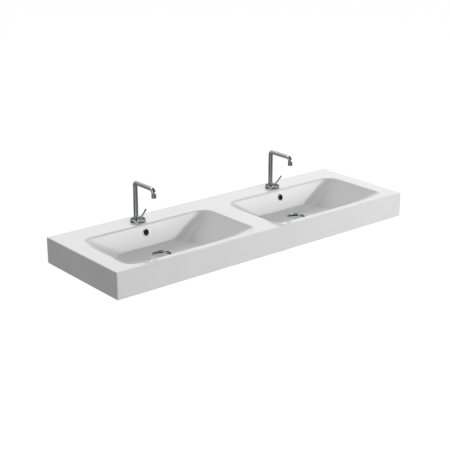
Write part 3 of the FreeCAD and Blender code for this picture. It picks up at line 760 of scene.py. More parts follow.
def bowl_form(sizes):
    """The space of a bowl: rounded rim, leaning walls, rounded floor edge, and a cover above the deck."""
    floor_z = DECK_Z - sizes.height + sizes.floor
    depth = DECK_Z - floor_z
    lines = []
    for (rim, out), (floor, _) in zip(*rim_and_floor(sizes, 0.0)):
        run = (rim - floor).dot(out)
        slope = math.atan2(depth, run)
        rim_reach = sizes.rim_edge * math.tan(slope / 2)
        floor_reach = sizes.floor_edge * math.tan(slope / 2)
        line = [rim + out * rim_reach + UP * (DECK_Z + above) for above in (OVERLAP, SHAVE)]
        for step in range(1, ARC_STEPS + 1):
            part = slope * step / ARC_STEPS
            line.append(rim + out * (rim_reach - sizes.rim_edge * math.sin(part))
                        + UP * (DECK_Z - sizes.rim_edge * (1 - math.cos(part))))
        for step in range(ARC_STEPS + 1):
            part = slope * (1 - step / ARC_STEPS)
            line.append(floor + out * (sizes.floor_edge * math.sin(part) - floor_reach)
                        + UP * (floor_z + sizes.floor_edge * (1 - math.cos(part))))
        lines.append(line)
    return sink("bowl_form", list(zip(*lines)))


def shell_form(sizes):
    """A bowl's outside under the deck, drawn on below the slab."""
    bottom = DECK_Z - sizes.height
    rim, floor = rim_and_floor(sizes, sizes.shell)
    levels = ((rim, DECK_Z), (floor, bottom), (floor, bottom - 2 * sizes.floor))
    return sink("shell_form", [[place + UP * z for place, _ in ring] for ring, z in levels])


def hollow_form(sizes):
    """The space under the deck, around the bowls' shells and the web."""
    foot = DECK_Z - sizes.height - sizes.floor
    roof = DECK_Z - sizes.deck
    space = block("hollow_form", (SLAB_LOW.x + sizes.apron, SLAB_LOW.y + sizes.apron, foot),
                  (SLAB_HIGH.x - sizes.apron, SLAB_HIGH.y - sizes.apron, roof))
    round_edges(space, lambda e: not level(e, foot), sizes.cast_edge, CAST_EDGE_STEPS)
    for side in SIDES:
        combine(space, set_at(shell_form(sizes), (side * BOWL_X, 0.0, 0.0)), "DIFFERENCE")
    web_foot = roof - sizes.web_drop
    web = block("web_form", (-sizes.web / 2, SLAB_LOW.y, web_foot), (sizes.web / 2, SLAB_HIGH.y, DECK_Z))
    round_edges(web, lambda e: level(e, web_foot), sizes.cast_edge, CAST_EDGE_STEPS)
    return combine(space, web, "DIFFERENCE")


def back_wall_y(sizes, z):
    """Inner face of a bowl's back wall at the level z."""
    slope = sizes.back_run / (sizes.height - sizes.floor)
    return SLAB_HIGH.y - sizes.back_deck - (DECK_Z - z) * slope


def duct_form(name, sizes, inner, outer, levels, width):
    """The overflow duct: down behind the back wall and forward to the waste, as an outside or an inside."""
    top, roof, foot = levels
    points = [(back_wall_y(sizes, top) + inner, top), (back_wall_y(sizes, top) + outer, top),
              (back_wall_y(sizes, foot) + outer, foot), (DRAIN_Y, foot), (DRAIN_Y, roof),
              (back_wall_y(sizes, roof) + inner, roof)]
    return extruded(name, [(-width / 2, y, z) for y, z in points], (width, 0.0, 0.0))


def on_back_wall(sizes, piece):
    """Sets a piece made about Z square on the back wall, at the overflow of a bowl about X = 0."""
    z = DECK_Z - sizes.overflow_down
    lean = QUARTER_TURN - math.atan(sizes.back_run / (sizes.height - sizes.floor))
    return set_at(piece, (0.0, back_wall_y(sizes, z), z), lean)


def duct_house(sizes):
    """Ceramic around the overflow duct and the waste hole, under the floor and behind the back wall."""
    bottom = DECK_Z - sizes.height
    foot = bottom - sizes.duct_cover - sizes.duct_gap - sizes.duct_skin
    inner = sizes.duct_skin
    outer = 2 * sizes.duct_skin + sizes.duct_gap
    levels = (DECK_Z - sizes.deck + OVERLAP, bottom + OVERLAP, foot)
    house = duct_form("duct_house", sizes, inner, outer, levels, sizes.duct_width + 2 * sizes.duct_skin)
    round_edges(house, lambda e: True, sizes.cast_edge, CAST_EDGE_STEPS)
    boss_foot = foot - SHAVE
    boss = rod("waste_boss", sizes.boss, boss_foot, bottom + OVERLAP + SHAVE, DRAIN, ROUND_STEPS)
    round_edges(boss, lambda e: level(e, boss_foot), sizes.cast_edge, CAST_EDGE_STEPS)
    return combine(house, boss, "UNION")


def holes(sizes):
    """The holes of one bowl, as tools to cut with. The duct's inside brings its own finish, a near-black
    painted shade.
    """
    bottom = DECK_Z - sizes.height
    floor_z = bottom + sizes.floor
    roof = bottom - sizes.duct_cover
    foot = roof - sizes.duct_gap
    outer = sizes.duct_skin + sizes.duct_gap
    top = DECK_Z - sizes.overflow_down + sizes.overflow_hole
    space = duct_form("duct_space", sizes, sizes.duct_skin, outer, (top, roof, foot), sizes.duct_width)
    # The duct's inside is painted near black, as shade
    space.data.materials.append(FINISHES["duct"])
    yield space
    overflow = rod("overflow_hole", sizes.overflow_hole, OVERLAP - outer, sizes.overflow_hole)
    yield on_back_wall(sizes, overflow)
    yield rod("waste_recess", sizes.recess, floor_z - sizes.recess_depth, floor_z + OVERLAP, DRAIN,
              ROUND_STEPS)
    yield rod("waste_hole", sizes.waste_hole, foot - 2 * sizes.duct_skin, floor_z - OVERLAP, DRAIN,
              ROUND_STEPS)
    yield rod("tap_hole", sizes.tap_hole, DECK_Z - 2 * sizes.deck, DECK_Z + OVERLAP, (0.0, TAP_Y),
              ROUND_STEPS)
    for side in SIDES:
        bolt = rod("bolt_hole", sizes.bolt_hole, -OVERLAP, sizes.apron + OVERLAP)
        yield set_at(bolt, (side * sizes.bolt_pitch / 2, SLAB_HIGH.y, 0.0), QUARTER_TURN)


class BASIN_OT_casting(bpy.types.Operator):
    """Models the ceramic casting: slab, bowls, hollow underside, overflow ducts and holes"""

    bl_idname = "basin.casting"
    bl_label = "Casting"

    def execute(self, context):
        sizes = context.scene.basin_casting
        bottom = DECK_Z - sizes.height
        piece = block("basin_casting", (SLAB_LOW.x, SLAB_LOW.y, bottom), SLAB_HIGH)
        round_edges(piece, lambda e: not level(e, bottom), sizes.arris, SLAB_EDGE_STEPS)
        bowl_places = [Vector((side * BOWL_X, 0.0, 0.0)) for side in SIDES]
        for place in bowl_places:
            combine(piece, set_at(bowl_form(sizes), place), "DIFFERENCE")
        combine(piece, hollow_form(sizes), "DIFFERENCE")
        round_edges(piece, lambda e: level(e, bottom) and is_corner(e), sizes.foot_edge, FINE_EDGE_STEPS)
        piece.data.materials.append(FINISHES["ceramic"])
        for place in bowl_places:
            combine(piece, set_at(duct_house(sizes), place), "UNION")
            for tool in holes(sizes):
                tool.location += place
                combine(piece, applied(tool), "DIFFERENCE")
        smooth(piece)
        settle(piece, "ceramic", "basin", "basin_body")
        return {"FINISHED"}


class BASIN_OT_overflow_rings(bpy.types.Operator):
    """Turns the chrome ring of each overflow, painted near black inside its bore as shade"""

    bl_idname = "basin.overflow_rings"
    bl_label = "Overflow rings"

    def execute(self, context):
        sizes = context.scene.basin_wastes
        casting = context.scene.basin_casting
        sleeve = casting.overflow_hole - SLIDING
        crest = (sizes.ring + sizes.ring_bore) / 2
        edge = sizes.ring_proud / 2
        profile = [(sizes.ring_bore, -sizes.ring_sleeve, CRISP), (sleeve, -sizes.ring_sleeve, CRISP),
                   (sleeve, 0.0, 0.0), (sizes.ring, 0.0, KEEN), (sizes.ring, edge, SOFT),
                   (crest, sizes.ring_proud, FULL), (sizes.ring_bore, edge, SOFT)]
        piece = turned("overflow_bezel", profile)
        for finish in ("chrome", "duct"):
            piece.data.materials.append(FINISHES[finish])
        # The bore's faces take the near-black painted shade of the ducts, standing in for the shade inside
        # the hole
        with editing(piece, "FACE") as shape:
            pick(shape.faces, is_bore)
            piece.active_material_index = 1
            bpy.ops.object.material_slot_assign()
        on_back_wall(casting, piece)
        set_at(piece, (-BOWL_X, 0.0, 0.0))
        settle_pair(piece, "chrome", "overflow_ring")
        return {"FINISHED"}


class BASIN_OT_wastes(bpy.types.Operator):
    """Models each waste: dished flange, slotted and threaded tail, latch arms, nut and washer"""

    bl_idname = "basin.wastes"
    bl_label = "Wastes"

    def execute(self, context):
        sizes = context.scene.basin_wastes
        casting = context.scene.basin_casting
        floor_z = DECK_Z - casting.height + casting.floor
        axis = (-BOWL_X, DRAIN_Y, 0.0)
        slot_top = -casting.floor - casting.duct_cover
        slot_foot = slot_top - casting.duct_gap
        piece = self.body(sizes, floor_z)
        combine(piece, self.hub(sizes, slot_top), "UNION")
        reach = 1.5 * sizes.tail
        spared = 0.62 * sizes.tail
        for quarter in range(2):
            slot = block("slot", (-reach, -sizes.slot / 2, slot_foot), (reach, sizes.slot / 2, slot_top))
            keep = rod("keep", spared, slot_foot - OVERLAP, slot_top + OVERLAP)
            combine(slot, keep, "DIFFERENCE")
            slot.rotation_euler = (0.0, 0.0, quarter * QUARTER_TURN)
            combine(piece, applied(slot), "DIFFERENCE")
        settle_pair(set_at(piece, (-BOWL_X, DRAIN_Y, floor_z)), "chrome", "waste_body")

        low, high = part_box("waste_backnut_left")
        nut = hex_nut("waste_nut", sizes.tail + SLIDING, sizes.nut_wall, low.z, high.z, EASED)
        settle_pair(set_at(nut, axis), "brass", "waste_backnut")

        low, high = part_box("waste_bottom_seal_left")
        bore = sizes.tail + LOOSE
        outer = (high.x - low.x) / 2
        nose = casting.waste_hole - LOOSE
        seat = slot_foot - casting.duct_skin + floor_z
        profile = [(bore, low.z, CRISP), (outer, low.z, SOFT), (outer, seat, SOFT), (nose, seat, 0.0),
                   (nose, high.z, FINE), (bore, high.z, CRISP)]
        settle_pair(set_at(turned("waste_washer", profile), axis), "rubber", "waste_bottom_seal")
        return {"FINISHED"}

    def body(self, sizes, floor_z):
        """Flange and tail, with the thread cut below the nut and a groove above the thread."""
        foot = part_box("waste_body_left")[0].z - floor_z
        bore = sizes.tail - sizes.tail_wall
        lead = sizes.tail - 0.5 * MM
        thread_end = foot + sizes.outlet
        groove = sizes.tail - 1.2 * MM
        groove_end = thread_end + 2 * MM
        under = -sizes.dish - sizes.flange_wall
        mouth = sizes.flange - sizes.flange_edge
        seat = mouth - sizes.flare
        seat_edge = 1.2 * MM
        rings = thread_levels(foot + THREAD_LEAD, thread_end, sizes.tail_pitch)
        profile = [(bore, foot, FINE), (lead, foot, 0.0)]
        profile += [(sizes.tail, z, 0.0) for z in rings]
        profile += [(groove, thread_end, 0.0), (groove, groove_end, 0.0), (sizes.tail, groove_end, 0.0),
                    (sizes.tail, under, 0.0), (seat + sizes.flange_edge, under, BROAD),
                    (sizes.flange, -sizes.flange_wall, BROAD), (sizes.flange, sizes.flange_lip, PLAIN),
                    (mouth, sizes.flange_lip, EASED), (seat, -sizes.dish, seat_edge),
                    (bore, -sizes.dish, SOFT)]
        piece = turned("waste_flange", profile)
        cut_thread(piece, sizes.tail, rings[0], rings[-1], sizes.tail_pitch, sizes.thread_depth)
        return piece

    def hub(self, sizes, top):
        """Ring on four arms that holds the latch in the tail."""
        low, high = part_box("latch_cartridge_left")
        bore = (high.x - low.x) / 2 + FIXED
        outer = bore + sizes.hub_wall
        foot = top - sizes.hub_height
        hub = turned("hub", collar(bore, outer, foot, top, CRISP, PLAIN))
        root = outer - 1.2 * MM
        reach = sizes.tail - sizes.tail_wall / 2
        for quarter in range(4):
            arm = block("arm", (root, -sizes.arm / 2, foot + SHAVE), (reach, sizes.arm / 2, top - SHAVE))
            arm.rotation_euler = (0.0, 0.0, (quarter + 0.5) * QUARTER_TURN)
            combine(hub, applied(arm), "UNION")
        return hub


class BASIN_OT_plugs(bpy.types.Operator):
    """Turns each plug cap and its seal"""

    bl_idname = "basin.plugs"
    bl_label = "Plugs"

    def execute(self, context):
        sizes = context.scene.basin_wastes
        place = (-BOWL_X, DRAIN_Y, 0.0)
        low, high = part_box("plug_cap_left")
        seal_low, seal_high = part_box("plug_seal_left")
        stem_low, stem_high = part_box("plug_stem_left")
        radius = (high.x - low.x) / 2
        under = stem_high.z
        stem = (stem_high.x - stem_low.x) / 2 + FIXED
        rim_edge = 1.1 * MM
        profile = [(0.0, under, 0.0), (stem, under, 0.0), (stem, low.z, KEEN),
                   (sizes.cap_boss, low.z, EASED), (sizes.cap_boss, under, SOFT),
                   (radius, under, PLAIN), (radius, high.z - sizes.crown, rim_edge)]
        profile += [(radius * part, high.z - sizes.crown * part ** 2, 0.0)
                    for part in (0.9, 0.75, 0.6, 0.45, 0.3, 0.15, 0.0)]
        settle_pair(set_at(turned("plug_lid", profile), place), "chrome", "plug_cap", "plug")
        outer = (seal_high.x - seal_low.x) / 2
        bore = outer - sizes.seal_width
        lip = 0.7 * MM
        profile = [(bore, seal_low.z, FINE), (outer, seal_low.z, lip), (outer, seal_high.z, FINE),
                   (bore, seal_high.z, FINE)]
        settle_pair(set_at(turned("plug_gasket", profile), place), "rubber", "plug_seal", "plug")
        return {"FINISHED"}


class BASIN_OT_tap_bases(bpy.types.Operator):
    """Models the round base of each tap, its bores and the grub screw behind"""

    bl_idname = "basin.tap_bases"
    bl_label = "Tap bases"

    def execute(self, context):
        sizes = context.scene.basin_tap
        low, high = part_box("tap_base_left")
        gasket_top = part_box("tap_gasket_left")[1].z
        bush_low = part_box("spout_bush_left")[0].z
        radius = (high.x - low.x) / 2
        profile = [(0.0, gasket_top, 0.0), (sizes.base_recess, gasket_top, 0.0),
                   (sizes.base_recess, low.z, KEEN), (radius, low.z, CRISP),
                   (radius, high.z, sizes.base_edge), (0.0, high.z, 0.0)]
        piece = turned("tap_rosette", profile, BASE_STEPS)
        spout = SPOUT_Y - TAP_Y
        lever = LEVER_Y - TAP_Y
        for bore, foot, y in ((sizes.bush, bush_low, spout), (sizes.journal, low.z - OVERLAP, spout),
                              (sizes.turret + TURNING, low.z - OVERLAP, lever)):
            tool = rod("bore", bore, foot, high.z + OVERLAP, (0.0, y), ROUND_STEPS)
            combine(piece, tool, "DIFFERENCE")
        inside = radius - sizes.base_edge - sizes.bore_edge
        round_edges(piece, lambda e: level(e, high.z) and is_corner(e) and from_axis(e) < inside,
                    sizes.bore_edge, FINE_EDGE_STEPS)
        screw_low, screw_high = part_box("spout_grub_screw_left")
        screw_z = (screw_low.z + screw_high.z) / 2
        screw_r = (screw_high.z - screw_low.z) / 2
        hole = rod("screw_hole", screw_r + FIXED, 0.0, radius)
        combine(piece, set_at(hole, (0.0, spout, screw_z), -QUARTER_TURN), "DIFFERENCE")
        settle_pair(set_at(piece, (-BOWL_X, TAP_Y, 0.0)), "chrome", "tap_base")
        screw = self.screw(screw_r, screw_high.y - screw_low.y)
        set_at(screw, (-BOWL_X, screw_low.y, screw_z), -QUARTER_TURN)
        settle_pair(screw, "steel", "spout_grub_screw")
        return {"FINISHED"}

    def screw(self, radius, long):
        """Grub screw with a dog point and a hexagon socket."""
        point = 1.0 * MM
        dog = radius - 0.5 * MM
        socket_radius = 0.85 * MM
        socket_foot = long - 2.0 * MM
        profile = [(0.0, 0.0, 0.0), (dog, 0.0, 0.15 * MM), (dog, point, 0.0),
                   (radius, point, 0.0), (radius, long, 0.25 * MM), (0.0, long, 0.0)]
        piece = turned("grub_screw", profile, SCREW_STEPS)
        socket = rod("socket", socket_radius, socket_foot, long + OVERLAP, steps=HEXAGON)
        return combine(piece, socket, "DIFFERENCE")


class BASIN_OT_tap_clamps(bpy.types.Operator):
    """Models the threaded shank, washers and nut that clamp each tap to the deck"""

    bl_idname = "basin.tap_clamps"
    bl_label = "Tap clamps"

    def execute(self, context):
        sizes = context.scene.basin_tap
        place = (-BOWL_X, TAP_Y, 0.0)
        nut_low, nut_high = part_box("tap_backnut_left")
        settle_pair(set_at(self.shank(sizes, nut_low.z), place), "brass", "tap_shank")
        for name, node, slot, edge in (("clamp_rubber", "tap_clamp_washer", "rubber", EASED),
                                       ("clamp_steel", "tap_clamp_plate", "steel", CRISP)):
            low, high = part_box(node + "_left")
            washer = turned(name, collar(sizes.clamp_bore, sizes.clamp, low.z, high.z, edge, edge))
            settle_pair(set_at(washer, place), slot, node)
        nut = hex_nut("clamp_nut", sizes.shank + SLIDING, sizes.nut_wall, nut_low.z, nut_high.z, FINE)
        settle_pair(set_at(nut, place), "brass", "tap_backnut")
        return {"FINISHED"}

    def shank(self, sizes, nut_foot):
        """Shank with its thread and the bores for the spout, the cartridge and the inlets."""
        low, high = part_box("tap_shank_left")
        lead = sizes.shank - sizes.shank_thread
        rings = thread_levels(low.z + THREAD_LEAD, nut_foot + sizes.shank_pitch, sizes.shank_pitch)
        profile = [(0.0, low.z, 0.0), (lead, low.z, 0.0)]
        profile += [(sizes.shank, z, 0.0) for z in rings]
        profile += [(sizes.shank, high.z, CRISP), (0.0, high.z, 0.0)]
        piece = turned("shank_thread", profile)
        cut_thread(piece, sizes.shank, rings[0], rings[-1], sizes.shank_pitch, sizes.shank_thread)
        cartridge_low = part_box("mixing_cartridge_left")[0].z
        stem_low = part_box("spout_spigot_left")[0].z - SLIDING
        bores = [(sizes.stem, stem_low, high.z + OVERLAP, (0.0, SPOUT_Y - TAP_Y)),
                 (sizes.cartridge, cartridge_low, high.z + OVERLAP, (0.0, LEVER_Y - TAP_Y))]
        bores += [(sizes.inlet, low.z - OVERLAP, low.z + sizes.inlet_depth, (side * sizes.inlet_side, 0.0))
                  for side in SIDES]
        for radius, foot, top, spot in bores:
            combine(piece, rod("bore", radius, foot, top, spot), "DIFFERENCE")
        inside = 0.9 * sizes.shank
        round_edges(piece, lambda e: level(e, low.z) and is_corner(e) and from_axis(e) < inside,
                    FINE, SMALL_EDGE_STEPS)
        return piece


class BASIN_OT_levers(bpy.types.Operator):
    """Models each tap's turret, lever and lever tip"""

    bl_idname = "basin.levers"
    bl_label = "Levers"

    def execute(self, context):
        sizes = context.scene.basin_tap
        pivot = (-BOWL_X, LEVER_Y, middle("lever_pin_left").z)
        turret = self.turret(sizes, pivot[2])
        settle_pair(set_at(turret, (-BOWL_X, LEVER_Y, 0.0)), "chrome", "lever_turret", "turret")
        end = sizes.lever_length - sizes.tip_length
        rod_end = end - sizes.tip_notch
        stud_end = rod_end + 4.0 * MM
        shoulder = sizes.neck_length + 3.0 * MM
        profile = [(0.0, 0.0, 0.0), (sizes.neck, 0.0, 0.0), (sizes.neck, sizes.neck_length, FULL),
                   (sizes.lever, shoulder, FULL), (sizes.lever, rod_end, FINE), (sizes.stud, rod_end, 0.0),
                   (sizes.stud, stud_end, 0.0), (0.0, stud_end, 0.0)]
        piece = turned("lever_stick", profile, BORE_STEPS)
        combine(piece, self.cross_rod("eye", sizes.eye, 2 * sizes.neck), "UNION")
        combine(piece, self.cross_rod("pin_hole", sizes.pin + TURNING, 4 * sizes.eye), "DIFFERENCE")
        settle_pair(set_at(piece, pivot, sizes.lever_lean), "chrome", "lever_rod", "lever")
        socket = sizes.stud + FIXED
        socket_end = rod_end + 4.2 * MM
        profile = [(socket, end, 0.0), (sizes.tip, end, FINE), (sizes.tip, sizes.lever_length, BROAD),
                   (0.0, sizes.lever_length, 0.0), (0.0, socket_end, 0.0), (socket, socket_end, 0.0)]
        tip = turned("lever_knob", profile, BORE_STEPS)
        settle_pair(set_at(tip, pivot, sizes.lever_lean), "chrome", "lever_tip", "lever")
        return {"FINISHED"}

    def cross_rod(self, name, radius, long):
        """A bar along X through the origin."""
        bar = rod(name, radius, -long / 2, long / 2)
        bar.rotation_euler = (0.0, QUARTER_TURN, 0.0)
        return applied(bar)

    def turret(self, sizes, pivot_z):
        """Domed turret on its spindle, slotted for the lever."""
        low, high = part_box("lever_turret_left")
        lift = 0.2 * MM
        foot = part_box("tap_gasket_left")[1].z + lift
        spindle = 3.0 * MM
        dome = (sizes.turret ** 2 + sizes.dome ** 2) / (2 * sizes.dome)
        sweep = math.asin(sizes.turret / dome)
        profile = [(0.0, low.z, 0.0), (spindle, low.z, CRISP), (spindle, foot, 0.0),
                   (sizes.turret, foot, CRISP), (sizes.turret, high.z - sizes.dome, FINE)]
        profile += [(dome * math.sin(sweep * part), high.z - dome * (1 - math.cos(sweep * part)), 0.0)
                    for part in (0.85, 0.7, 0.55, 0.4, 0.25, 0.1, 0.0)]
        piece = turned("lever_dome", profile)
        half = sizes.neck + LOOSE
        seat = sizes.eye + LOOSE
        slot = block("slot", (-half, -2 * sizes.turret, pivot_z - seat), (half, seat, high.z + OVERLAP))
        combine(piece, slot, "DIFFERENCE")
        pin = self.cross_rod("pin_hole", sizes.pin + FIXED, 4 * sizes.turret)
        return combine(piece, set_at(pin, (0.0, 0.0, pivot_z)), "DIFFERENCE")


class BASIN_OT_spouts(bpy.types.Operator):
    """Bends the tube of each spout"""

    bl_idname = "basin.spouts"
    bl_label = "Spouts"

    def execute(self, context):
        sizes = context.scene.basin_tap
        low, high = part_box("spout_tube_left")
        x = -BOWL_X
        arm_z = high.z - sizes.tube
        front_y = low.y + sizes.tube
        end_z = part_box("aerator_sleeve_left")[0].z + sizes.nozzle_height
        rear = sizes.rear_bend
        fore = sizes.front_bend
        bpy.ops.mesh.primitive_circle_add(vertices=BORE_STEPS, radius=sizes.tube, fill_type="NOTHING",
                                          location=(x, SPOUT_Y, low.z))
        piece = applied(started("spout_pipe"))
        with editing(piece, "EDGE"):
            bpy.ops.mesh.select_all(action="SELECT")
            self.draw((0.0, 0.0, arm_z - rear - low.z))
            self.bend((x, SPOUT_Y - rear, arm_z - rear))
            self.draw((0.0, front_y + fore - SPOUT_Y + rear, 0.0))
            self.bend((x, front_y + fore, arm_z - fore))
            self.draw((0.0, 0.0, end_z - arm_z + fore))
            tidied()
        wall = piece.modifiers.new("wall", "SOLIDIFY")
        wall.thickness = sizes.tube_wall
        wall.offset = -1.0
        apply_change(piece, wall)
        round_edges(piece, is_corner, sizes.tube_edge, SMALL_EDGE_STEPS)
        settle_pair(piece, "chrome", "spout_tube", "spout")
        return {"FINISHED"}

    def draw(self, way):
        """Draws the open end of the tube on, straight."""
        bpy.ops.mesh.extrude_region_move(TRANSFORM_OT_translate={"value": way})

    def bend(self, centre):
        """Draws the open end of the tube on, through a quarter turn."""
        bpy.ops.mesh.spin(steps=BEND_STEPS, angle=-QUARTER_TURN, center=centre, axis=(1, 0, 0))


class BASIN_OT_nozzles(bpy.types.Operator):
    """Turns each nozzle and pierces its aerator"""

    bl_idname = "basin.nozzles"
    bl_label = "Nozzles"

    def execute(self, context):
        sizes = context.scene.basin_tap
        low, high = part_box("aerator_sleeve_left")
        insert_low, insert_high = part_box("aerator_insert_left")
        place = (-BOWL_X, (low.y + high.y) / 2, 0.0)
        bore = sizes.nozzle - sizes.nozzle_wall
        spigot = sizes.tube - sizes.tube_wall - SLIDING
        neck = spigot - sizes.spigot_wall
        top = low.z + sizes.nozzle_height
        profile = [(bore, low.z, CRISP), (sizes.nozzle, low.z, PLAIN), (sizes.nozzle, top, CRISP),
                   (spigot, top, 0.0), (spigot, high.z, CRISP), (neck, high.z, CRISP),
                   (neck, insert_high.z, 0.0), (bore, insert_high.z, 0.0)]
        settle_pair(set_at(turned("spout_nozzle", profile), place), "chrome", "aerator_sleeve", "spout")
        radius = bore - SLIDING
        dish = 0.4 * MM
        face = insert_low.z + dish
        dish_foot = 0.86 * radius
        dish_rim = 0.9 * radius
        profile = [(0.0, face, 0.0), (dish_foot, face, CRISP), (dish_rim, insert_low.z, KEEN),
                   (radius, insert_low.z, KEEN), (radius, insert_high.z, KEEN), (0.0, insert_high.z, 0.0)]
        insert = turned("aerator_disc", profile, BORE_STEPS)
        for count, ring in ((1, 0.0), (6, 0.33 * radius), (12, 0.66 * radius)):
            for i in range(count):
                around = FULL_TURN * i / count
                spot = (ring * math.cos(around), ring * math.sin(around))
                hole = rod("jet", sizes.jet_hole, insert_low.z - OVERLAP, insert_high.z + OVERLAP, spot,
                           JET_STEPS)
                combine(insert, hole, "DIFFERENCE")
        settle_pair(set_at(insert, place), "plastic", "aerator_insert", "spout")
        return {"FINISHED"}


class BASIN_OT_inner_pieces(bpy.types.Operator):
    """Gives the CAD pieces that are still shown the finish of their slot"""

    bl_idname = "basin.inner_pieces"
    bl_label = "Inner pieces"

    def execute(self, context):
        for row in frame["record"]["subparts"]:
            node = frame["nodes"][row["node"]]
            if not node.hide_render:
                plated = row["node"].startswith("spout_spigot")
                node.data.materials.clear()
                node.data.materials.append(FINISHES["chrome" if plated else row["material_slot"]])
                node.visible_glossy = False
        return {"FINISHED"}


class BASIN_OT_finishes(bpy.types.Operator):
    """Makes the finishes of the ceramic, metals, rubber and plastic"""

    bl_idname = "basin.finishes"
    bl_label = "Finishes"

    def execute(self, context):
        make_finishes(context.scene)
        return {"FINISHED"}


# The studio, in metres and degrees
CAMERA_PLACE = Vector((-2.55928, -3.28932, 1.38968))
CAMERA_TURN = (70.7322, 0.0, -39.3726)
KEY_PLACE = (2.9, -4.5, 0.8)
KEY_SIZE = (5.0, 3.2)
FLOOR_WIDTH = 80.0
FLOOR_PAINT = (0.8, 0.8, 0.8, 1.0)
WHITE = (1.0, 1.0, 1.0, 1.0)
TAP_CARD_START = 0.006  # height above the deck, on a tap's axis, from which its card is set out
TAP_CARD_AWAY = 0.1     # from there to the card
TAP_CARD_SIZE = (0.062, 0.021)

# Soft lights from far off: name, setting of its strength, where it comes from, softness
SUNS = (("back_light", "back", (0.40, 0.80, 0.45), 40),
        ("fill_light", "fill", (-1.0, 0.0, 0.2), 60))

# Cards that face the basin: name, setting of its tone, middle, width and height
CARDS = (("side_card", "grey", (-2.2, 1.8, 0.4), (4.4, 3.4)),
         ("front_card", "dark", (-2.2, -3.5, 0.4), (6.2, 3.4)),
         ("top_card", "black", (0.0, -2.0, 3.0), (7.0, 4.4)),
         ("right_card", "grey", (5.0, 0.0, 0.6), (3.6, 2.6)),
         ("sky_card", "sky", (4.2, 5.1, 2.3), (4.6, 2.8)),
         ("box_card", "box", (3.25, -4.27, 0.0), (3.7, 1.6)),
         ("wall_card", "wall", (0.0, -0.104, -0.015), (1.32, 0.09)),
         ("line_card", "line", (0.0, 1.25, 3.5), (7.0, 0.3)))

# Cards that lie on the floor: name, setting of its tone, middle with its height above the floor, size
MATS = (("left_mat", "black", (-4.0, 3.8, 0.02), (6.2, 6.4)),
        ("front_mat", "dark", (-1.2, -3.2, 0.02), (11.6, 7.6)),
        ("rear_mat", "grey", (2.1, 3.6, 0.02), (6.0, 6.0)),
        ("white_mat", "white", (-2.5, -1.8, 0.04), (1.6, 0.5)))


def aimed(place):
    """Turn of a lamp or card that faces the basin from a place, with its own Z pointing away."""
    return Vector(place).to_track_quat("Z", "Y").to_euler()


